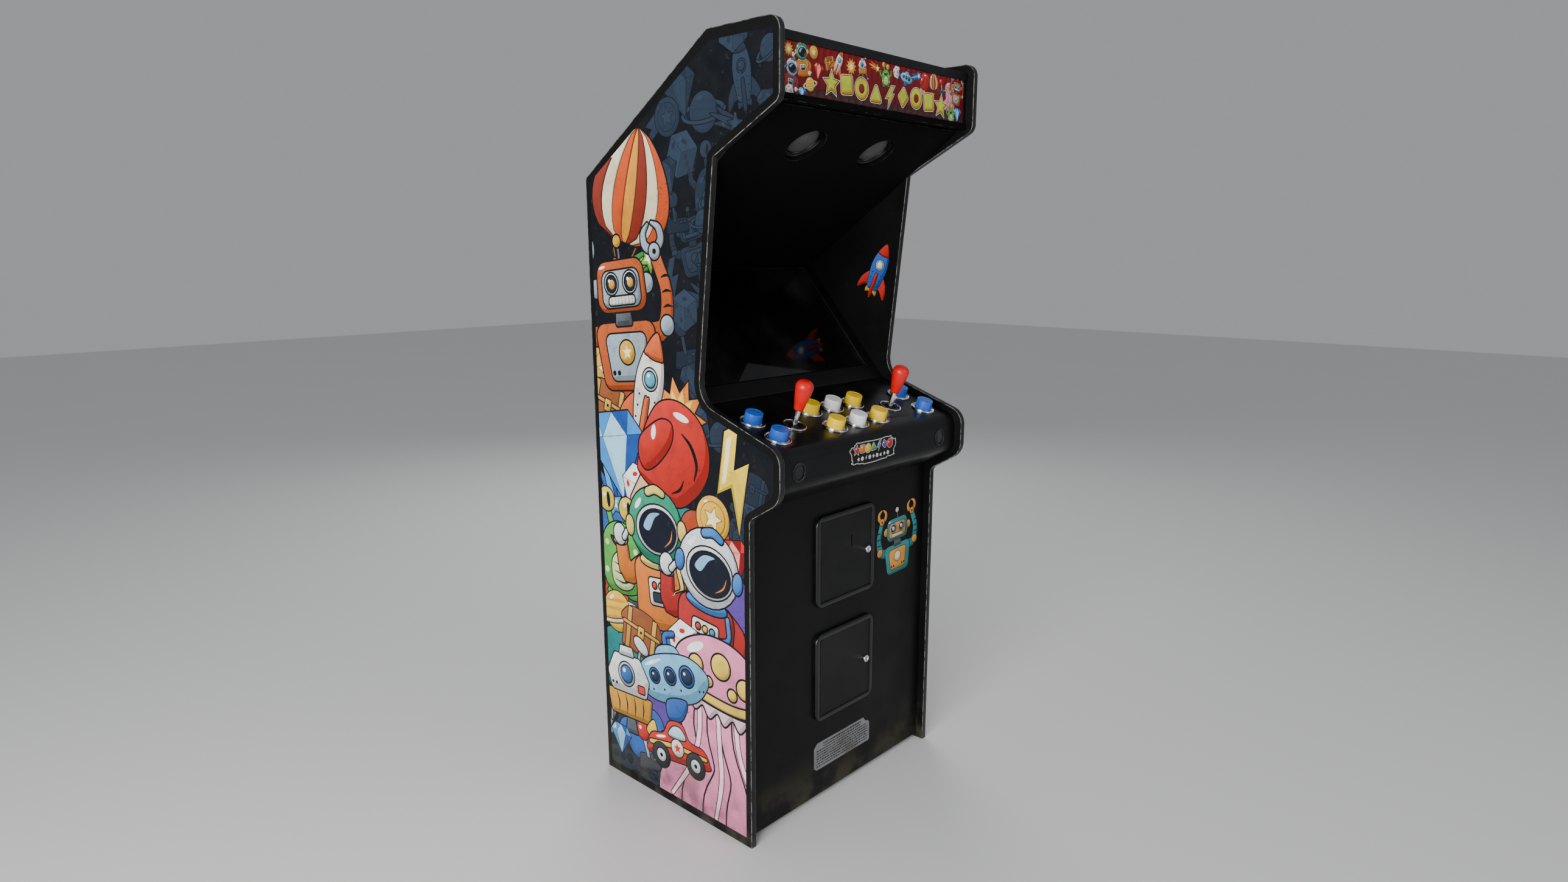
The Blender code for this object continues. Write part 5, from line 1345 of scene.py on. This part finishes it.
def panel_badge():
    """A sticker of coloured blocks over a row of small pale ones, with a ragged pale edge."""
    ragged = []
    for step in range(64):
        angle = 2 * math.pi * step / 64
        wobble = 1.0 + 0.05 * math.sin(7 * angle) + 0.03 * math.sin(19 * angle + 1.0)
        ragged.append(Vector((0.0850 * math.copysign(abs(math.cos(angle)) ** 0.42,
                                                     math.cos(angle)) * wobble,
                              0.0265 * math.copysign(abs(math.sin(angle)) ** 0.50,
                                                     math.sin(angle)) * wobble)))
    art = Artwork(ragged, "#b9b9b6")
    art.add(grown(ragged, -0.0022), linear("#15161a"), linear("#0c0d10"))
    shapes = title_shapes()
    colours = ["#d3271e", "#ef7f22", "#f4c92b", "#3fae49", "#2f7fd6", "#7b3fb0", "#d3271e"]
    for index, colour in enumerate(colours):
        pen = Pen(art, -0.063 + index * 0.021, 0.0085 + 0.0012 * (index % 2), 0.0102, -6 + 4 * index, 0.0006)
        pen.halo(shapes[index], "#e9e9e4", 0.0014)
        pen.shape(shapes[index], colour, shade=0.18)
        pen.glint(-0.30, 0.40, 0.16)
    for index in range(9):
        pen = Pen(art, -0.056 + index * 0.014, -0.0135, 0.0052, 10 - 5 * index, 0.0004)
        pen.shape(shapes[(index * 2) % 9], "#e6e6e0", shade=0.15)
    return art


def make_stickers():
    """The badge on the panel's nose, the helper robot on the front and the rocket on the right wall."""
    badge = panel_badge().film(upright(FRONTWARDS, -0.0075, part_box("control_panel")[0].y - FILM_GAP, 0.901),
                               FILM_THICKNESS)
    add_piece("panel_badge", badge, "sticker_film")
    helper = Artwork()
    draw_named(Pen(helper, 0.0, 0.0, 0.091, 3, 0.0016), "helper")
    front = upright(FRONTWARDS, 0.222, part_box("front_panel")[0].y - FILM_GAP, 0.612)
    add_piece("front_sticker", helper.film(front, FILM_THICKNESS), "sticker_film")
    rocket = Artwork()
    draw_named(Pen(rocket, 0.0, 0.0, 0.077, -24, 0.0014), "wall_rocket")
    wall = upright((-1.0, 0.0, 0.0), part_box("side_panel_right")[0].x - FILM_GAP, -0.0365, 1.304)
    add_piece("wall_sticker", rocket.film(wall, FILM_THICKNESS), "sticker_film")


# ---------------------------------------------------------------- controls

def turned(*corners, segments=48):
    """Turn a profile of (radius, height, corner radius) corners round local Z."""
    points = rounded(corners, closed=False, arc_step=math.radians(18))
    return lathe([tuple(point) for point in points], segments)


def make_button(column, row):
    """One push button: a grooved cap that slides in a chromed flange and cup."""
    name = f"{column}_{row}"
    colour = column.split("_")[-1]
    place = on_panel(BUTTON_COLUMNS[column], BUTTON_ROWS[row])
    top = CAP_TOP
    cap = turned((0.0, top - 0.0002, 0), (0.0144, top - 0.0002, 0.0002), (0.0147, top - 0.0006, 0.0001),
                        (0.0149, top - 0.0006, 0.0001), (0.0152, top, 0.0002), (0.0203, top, 0.0008),
                        (0.0210, top - 0.0140, 0.0060), (0.0210, -0.0055, 0.0004), (0.0035, -0.0055, 0.0004),
                        (0.0035, -0.0340, 0.0004), (0.0, -0.0340, 0))
    add_piece(f"{name}_button_top", cap, f"{colour}_cap", place, f"{name}_button", [f"{name}_cap"], sharp=50)
    flange = turned((0.0310, 0.0003, 0), (0.0310, 0.0024, 0.0012), (0.0298, 0.0040, 0.0014),
                           (0.0278, 0.0034, 0.0014), (0.0272, 0.0014, 0.0008), (0.0240, 0.0012, 0.0006),
                           (0.0234, 0.0030, 0.0006), (0.0224, 0.0030, 0.0005), (0.0222, -0.0100, 0.0006),
                           (0.0042, -0.0100, 0.0004), (0.0042, -0.0400, 0), (0.0115, -0.0400, 0.0008),
                           (0.0115, -0.0130, 0.0006), (0.0290, -0.0130, 0.0008), (0.0290, -0.0043, 0.0006),
                           (0.0238, -0.0043, 0), (0.0238, 0.0003, 0))
    add_piece(f"{name}_button_body", flange, "chrome", place, replaces=[f"{name}_housing"], sharp=50)


def dust_dome():
    """A thin shell centred on the pivot, which covers the hole in the plate as the stick tilts."""
    outer, spread, steps = 0.0225, math.radians(56), 12
    shell = []
    for radius, order in ((outer, range(steps + 1)), (outer - 0.0012, range(steps, -1, -1))):
        first = math.asin(0.0067 / radius)
        for step in order:
            angle = first + (spread - first) * step / steps
            shell.append((radius * math.sin(angle), radius * math.cos(angle) - PIVOT_DEPTH))
    return lathe(shell)


def pivot_pins():
    """The two short pins that the stick tilts on."""
    pins = bmesh.new()
    for end in (-1, 1):
        place = Matrix.Translation((0.0, end * 0.01425, -PIVOT_DEPTH)) @ TO_FRONT
        bmesh.ops.create_cone(pins, cap_ends=True, segments=16, radius1=0.0022, radius2=0.0022, depth=0.0155,
                              matrix=place)
    return pins


def make_stick(side):
    """One joystick: ring, plate and open housing on the panel, and the moving shaft, dome and bat top."""
    place = on_panel(STICK_X if side == "right" else -STICK_X, STICK_ROW)
    stick = f"{side}_stick"
    ring = turned((0.0290, 0.0003, 0), (0.0290, 0.0026, 0.0010), (0.0268, 0.0040, 0.0016),
                  (0.0244, 0.0030, 0.0010), (0.0240, 0.0003, 0))
    add_piece(f"{stick}_ring", ring, "chrome", place, replaces=[f"{side}_joystick_base"], sharp=50)
    housing = turned((0.0237, 0.0003, 0), (0.0237, 0.0022, 0.0006), (0.0190, 0.0010, 0.004),
                     (0.0136, 0.0010, 0.0004), (0.0136, -0.0010, 0.0003), (0.0188, -0.0010, 0),
                     (0.0188, -0.0058, 0), (0.0290, -0.0058, 0), (0.0290, -0.0330, 0), (0.0180, -0.0330, 0),
                     (0.0180, -0.0360, 0), (0.0340, -0.0360, 0.001), (0.0340, -0.0043, 0.001),
                     (0.0195, -0.0043, 0), (0.0195, 0.0003, 0))
    add_piece(f"{stick}_housing", housing, "black_plastic", place, sharp=50)
    shaft = turned((0.0, 0.062, 0), (0.0064, 0.062, 0.0005), (0.0064, -0.0140, 0.0005),
                   (0.0100, -0.0150, 0.0005), (0.0100, -0.0250, 0.0005), (0.0045, -0.0260, 0),
                   (0.0045, -0.0380, 0), (0.0100, -0.0390, 0.0005), (0.0100, -0.0440, 0.0005),
                   (0.0, -0.0440, 0))
    add_piece(f"{stick}_dust_dome", dust_dome(), "black_plastic", place, stick, sharp=50)
    add_piece(f"{stick}_shaft", shaft, "chrome", place, stick, [f"{side}_joystick_shaft"], sharp=50)
    add_piece(f"{stick}_pins", pivot_pins(), "steel", place, stick)
    add_piece(f"{stick}_bat", bat_shape(), "red_bat", place, stick, [f"{side}_joystick_bat"], sharp=60)


def bat_shape():
    """A bat-shaped knob: nearly straight sides that swell to a broad, softly flattened crown."""
    low, high = BAT_LOW, BAT_HIGH
    neck, widest = 0.0112, 0.0208
    widest_z = high - 0.0170
    points = [(0.0, low + 0.0230), (0.0069, low + 0.0230), (0.0069, low), (neck - 0.0012, low),
              (neck, low + 0.0012)]
    rise = 16
    for step in range(1, rise + 1):
        share = step / rise
        eased = 0.60 * share + 0.40 * math.sin(math.pi / 2 * share) ** 1.4
        points.append((neck + (widest - neck) * eased, low + 0.0012 + (widest_z - low - 0.0012) * share))
    crown = 16
    for step in range(1, crown):
        angle = math.pi / 2 * step / crown
        points.append((widest * math.cos(angle) ** 0.82,
                       widest_z + (high - widest_z) * math.sin(angle) ** 0.94))
    points.append((0.0, high))
    return lathe(points, 64)


# ---------------------------------------------------------------- front and head

def ring_around(outline_at, section):
    """Carry a closed section of (inset, height) points round an outline given as a function of inset."""
    shape = bmesh.new()
    rings = []
    for inset, height in section:
        rings.append([shape.verts.new((point.x, point.y, height)) for point in outline_at(inset)])
    for ring_a, ring_b in zip(rings, rings[1:] + rings[:1]):
        bridge(shape, ring_a, ring_b)
    return shape


def coin_frame_outline(inset):
    """The coin door frame's outline, moved in by inset, always with the same number of points."""
    half_x, half_z = COIN_FRAME_HALF_WIDTH - inset, COIN_FRAME_HALF_HEIGHT - inset
    corner = max(0.025 - inset * 1.7, 0.0015)
    return rounded([(-half_x, -half_z, corner), (half_x, -half_z, corner), (half_x, half_z, corner),
                    (-half_x, half_z, corner)])


def make_coin_frame(name, centre_z):
    """A moulded frame with a soft outer edge and a lip that steps down to its door."""
    proud, soft, steps = 0.010, 0.0055, 6
    section = [(0.0, 0.0003), (0.0, proud - soft)]
    for step in range(1, steps + 1):
        angle = math.pi / 2 * step / steps
        section.append((soft * (1 - math.cos(angle)), proud - soft * (1 - math.sin(angle))))
    section += [(0.0115, proud), (0.0130, proud - 0.0004), (0.0138, proud - 0.0014), (0.0139, -0.0170),
                (0.0112, -0.0170), (0.0112, 0.0003)]
    place = Matrix.Translation((0.0, KICK_Y, centre_z)) @ TO_FRONT
    surround = ring_around(coin_frame_outline, section)
    add_piece(f"{name}_door_surround", surround, "black_gloss", place, replaces=[f"{name}_door_frame"],
              sharp=50)


def make_lock(name, body, node, place, depth, reach):
    """A chromed key lock: domed collar, plug with a key slot, and a cam behind."""
    lock = turned((0.0, 0.0034, 0), (0.0056, 0.0034, 0.0004), (0.0062, 0.0046, 0.0004),
                  (0.0074, 0.0052, 0.0012), (0.0094, 0.0040, 0.0020), (0.0100, 0.0003, 0.0004),
                  (0.0080, 0.0003, 0), (0.0080, -depth - 0.0030, 0.0004), (0.0, -depth - 0.0030, 0))
    add_piece(f"{name}_barrel", lock, "chrome", place, body, [node], sharp=50)
    cam = rounded_box((-0.006, -reach, -depth - 0.0045), (0.006, 0.006, -depth - 0.0031), 0.0004)
    add_piece(f"{name}_cam", cam, "steel", place, body)
    keyway = rounded_box((-0.0007, -0.0042, 0.0030), (0.0007, 0.0042, 0.0037), 0.0001)
    add_piece(f"{name}_keyway", keyway, "black_plastic", place, body)


def make_locks():
    """The two coin door locks and the rear door's lock."""
    door_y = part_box("upper_door")[0].y
    for name, centre_z in COIN_DOORS.items():
        place = Matrix.Translation((COIN_LOCK_X, door_y, centre_z - COIN_LOCK_DROP))
        make_lock(f"{name}_lock", f"{name}_coin_lock", f"{name}_door_lock",
                  place @ TO_FRONT, 0.0260, 0.028)
    low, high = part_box("rear_door_lock")
    place = Matrix.Translation(((low.x + high.x) / 2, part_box("rear_door")[1].y, high.z - 0.010))
    to_back = Matrix.Rotation(math.pi, 4, "Z") @ TO_FRONT
    make_lock("rear_lock", "rear_lock", "rear_door_lock", place @ to_back, 0.0160, 0.045)


def woven_mesh():
    """A disc of thin wires that cross at right angles."""
    mesh = bmesh.new()
    radius, pitch, wire, depth = 0.0176, 0.0016, 0.00042, -0.0018
    count = int(radius / pitch)
    for step in range(-count, count + 1):
        reach = math.sqrt(radius ** 2 - (step * pitch) ** 2)
        for turn, level in ((0.0, depth), (math.pi / 2, depth - wire * 1.6)):
            along = Matrix.Translation((0.0, step * pitch, level)) @ Matrix.Rotation(math.pi / 2, 4, "Y")
            bmesh.ops.create_cone(mesh, cap_ends=True, segments=6, radius1=wire, radius2=wire,
                                  depth=2 * reach, matrix=Matrix.Rotation(turn, 4, "Z") @ along)
    return mesh


def make_sound_grille(side):
    """A black rim round a woven mesh in one of the holes in the panel's nose."""
    sign = 1 if side == "right" else -1
    place = Matrix.Translation((sign * SOUND_HOLE.x, SOUND_HOLE.y, SOUND_HOLE.z)) @ TO_FRONT
    rim = turned((0.0215, 0.0003, 0), (0.0215, 0.0014, 0.0006), (0.0195, 0.0022, 0.0010),
                 (0.0172, 0.0010, 0.0008), (0.0172, -0.0060, 0), (0.0190, -0.0060, 0), (0.0190, 0.0003, 0))
    add_piece(f"{side}_grille_rim", rim, "black_gloss", place, sharp=50)
    add_piece(f"{side}_grille_mesh", woven_mesh(), "dark_mesh", place)
    backing = turned((0.0, -0.0046, 0), (0.0160, -0.0046, 0.001), (0.0186, -0.0042, 0.0004),
                            (0.0186, -0.0064, 0.0004), (0.0, -0.0064, 0))
    add_piece(f"{side}_grille_cloth", backing, "speaker_cone", place)


def make_speaker(side):
    """A speaker seen from below: domed cover, rolled surround, basket and magnet."""
    x = SPEAKER_X if side == "right" else -SPEAKER_X
    brow = (RECESS_CORNER - BROW_START).normalized()
    start = BROW_START + brow * 0.0192
    place = slope_place(start, RECESS_CORNER, x, SPEAKER_ALONG) @ Matrix.Rotation(math.pi, 4, "X")
    back = -0.0123
    dome = [(0.0395 * math.sin(angle), -0.0064 - 0.0100 * (1 - math.cos(angle)) ** 0.8)
            for angle in [math.pi / 2 * step / 16 for step in range(17)]]
    cover = dome + [(0.0400, -0.0178), (0.0, -0.0178)]
    add_piece(f"{side}_speaker_dome", lathe(cover, 64), "speaker_cone", place, replaces=[f"{side}_speaker"],
              sharp=50)
    basket = turned((0.0404, -0.0172, 0), (0.0425, -0.0136, 0.0016), (0.0452, -0.0132, 0.0016),
                    (0.0472, -0.0150, 0.0008), (0.0492, back, 0), (0.0580, back, 0),
                    (0.0580, back - 0.0030, 0.0006), (0.0500, back - 0.0060, 0.002),
                    (0.0320, back - 0.0260, 0.003), (0.0320, back - 0.0420, 0.002), (0.0, back - 0.0420, 0),
                    (0.0, -0.0181, 0), (0.0404, -0.0181, 0), segments=64)
    add_piece(f"{side}_speaker_basket", basket, "black_gloss", place, sharp=50)


def make_edge_trims():
    """The crowned strip pressed round each side panel's edge, down to the floor at both ends."""
    outline = rounded(SIDE_CORNERS)
    normals = outward(outline)
    around = outline[1:] + outline[:1]
    normals = normals[1:] + normals[:1]
    floor_in = {0: Vector((-1.0, 0.0)), len(around) - 1: Vector((1.0, 0.0))}
    for side, name in ((-1, "left"), (1, "right")):
        low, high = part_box(f"edge_trim_{name}")
        half = (high.x - low.x) / 2
        middle = (high.x + low.x) / 2
        section = [(-half, TRIM), (-half, 0.0009), (-half + 0.0003, 0.0003), (-half + 0.0011, 0.0)]
        section += [(-x, inset) for x, inset in section[::-1]]
        rings = []
        for index, (point, normal) in enumerate(zip(around, normals)):
            inward = floor_in.get(index, -normal)
            ring = []
            for across, inset in section:
                moved = point + inward * inset
                ring.append((middle + side * across, moved.x, moved.y))
            rings.append(ring)
        add_piece(f"side_strip_{name}", loft(rings), "edge_trim", replaces=[f"edge_trim_{name}"], sharp=40)


def make_label():
    """A worn foil plate with rows of meaningless marks, low on the front panel."""
    place = upright(FRONTWARDS, 0.003, KICK_Y, 0.117)
    half_x, half_z = 0.1115, 0.0365
    corners = [(-half_x + 0.010, -half_z), (half_x - 0.004, -half_z), (half_x, -half_z + 0.004),
               (half_x, half_z - 0.022), (half_x - 0.006, half_z - 0.015), (half_x - 0.017, half_z - 0.012),
               (half_x - 0.026, half_z), (-half_x + 0.012, half_z), (-half_x, half_z - 0.012),
               (-half_x, -half_z + 0.008)]
    art = Artwork([Vector(corner) for corner in corners], "#8e8e90")
    chance = random.Random(4)
    rows = 9
    for row in range(rows):
        y = half_z - 0.0080 - row * 0.0070
        indent = 0.036 if row < 2 else 0.010
        x = -half_x + indent
        while x < half_x - indent - 0.004:
            word = min(chance.uniform(0.0025, 0.0090), half_x - indent - x)
            height = 0.0015 if row else 0.0021
            corners = [(x, y - height), (x + word, y - height), (x + word, y + height), (x, y + height)]
            if y + height < half_z - 0.014 or x + word < half_x - 0.030:
                art.add([Vector(corner) for corner in corners], linear("#1b1b1d"), linear("#232325"))
            x += word + 0.0022
    add_piece("front_label", art.film(place, 0.0004), "label_foil")


# ---------------------------------------------------------------- frame finishes

SOFT_EDGES = {
    "front_panel": 0.0012, "rear_frame": 0.0010, "top_panel": 0.0012, "base_panel": 0.0008,
    "rear_slope_panel": 0.0008, "rear_door": 0.0008, "marquee_retainer_top": 0.0006,
    "marquee_retainer_bottom": 0.0006, "cash_box": 0.0008, "power_supply": 0.0006,
    "coin_mechanism": 0.0006, "marquee_lamp": 0.0006, "monitor": 0.0008, "screen_glass": 0.0005,
    "control_panel": 0.0010, "screen_bezel": 0.0025, "upper_door": 0.0010,
    "lower_door": 0.0010,
}


MATTE_NODES = ("speaker_panel", "marquee_retainer_bottom")


def soften_edges(node, width):
    """Round a frame piece's sharp edges with modifiers, which leave its mesh as it is."""
    weld = node.modifiers.new("weld", "WELD")
    weld.merge_threshold = 0.00001
    bevel = node.modifiers.new("soft_edges", "BEVEL")
    bevel.width = width
    bevel.segments = 2
    bevel.limit_method = "ANGLE"
    bevel.angle_limit = math.radians(40)
    bevel.harden_normals = True


def finish_frame():
    """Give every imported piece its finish, and soften the edges that can be seen."""
    for name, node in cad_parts.items():
        slot = node.data.materials[0].name.split(".")[0]
        node.data.materials.clear()
        node.data.materials.append(FINISHES["black_matte" if name in MATTE_NODES else slot])
        if name in SOFT_EDGES:
            soften_edges(node, SOFT_EDGES[name])


# ---------------------------------------------------------------- stage

def floor_material():
    """Plain pale studio floor with the faintest mottling."""
    finish = Finish("studio_floor", (0.74, 0.74, 0.73), 0.75)
    finish.tint(finish.fade(finish.noise(1.2, 4.0), 0.40, 0.70, 0.0, 0.15), (0.69, 0.69, 0.68))
    return finish.done()


def make_stage():
    """A pale floor, a pale room and soft studio lights."""
    shape = bmesh.new()
    bmesh.ops.create_grid(shape, x_segments=1, y_segments=1, size=14.0)
    mesh = bpy.data.meshes.new("floor")
    shape.to_mesh(mesh)
    shape.free()
    mesh.materials.append(floor_material())
    floor = bpy.data.objects.new("floor", mesh)
    floor.location.z = -0.0005
    bpy.context.scene.collection.objects.link(floor)

    world = bpy.data.worlds.new("studio")
    world.use_nodes = True
    background = world.node_tree.nodes["Background"]
    background.inputs["Color"].default_value = (0.80, 0.82, 0.85, 1.0)
    background.inputs["Strength"].default_value = 0.42
    bpy.context.scene.world = world

    add_light("key", (-3.5, -1.3, 1.6), (0.0, 0.0, 0.7), 2.2, 175.0)
    add_light("front", (0.9, -3.6, 2.3), (0.0, -0.2, 1.0), 1.6, 20.0)
    add_light("back", (2.2, 2.6, 2.8), (0.0, 0.1, 1.0), 2.0, 50.0)


def add_light(name, location, target, size, power):
    """A soft square light aimed at a point."""
    data = bpy.data.lights.new(name, "AREA")
    data.size = size
    data.energy = power
    light = bpy.data.objects.new(name, data)
    light.location = location
    light.rotation_euler = (Vector(target) - Vector(location)).to_track_quat("-Z", "Y").to_euler()
    bpy.context.scene.collection.objects.link(light)


def make_camera():
    """The view from the front left, a little above the control panel."""
    data = bpy.data.cameras.new("camera")
    data.sensor_width = 36.0
    data.lens = 21.75
    camera = bpy.data.objects.new("camera", data)
    camera.location = (-1.7422, -1.6152, 1.3616)
    camera.rotation_euler = (math.radians(78.573), 0.0, math.radians(-47.209))
    bpy.context.scene.collection.objects.link(camera)
    bpy.context.scene.camera = camera


def make_pieces():
    """Every piece that is added to the frame or stands for one of its nodes."""
    for row in BUTTON_ROWS:
        for column in BUTTON_COLUMNS:
            make_button(column, row)
    for side in ("left", "right"):
        make_stick(side)
        make_sound_grille(side)
        make_speaker(side)
    for name, centre_z in COIN_DOORS.items():
        make_coin_frame(name, centre_z)
    make_locks()
    make_edge_trims()
    make_label()
    make_side_films()
    make_marquee()
    make_stickers()


make_camera()
finish_frame()
make_pieces()
make_stage()
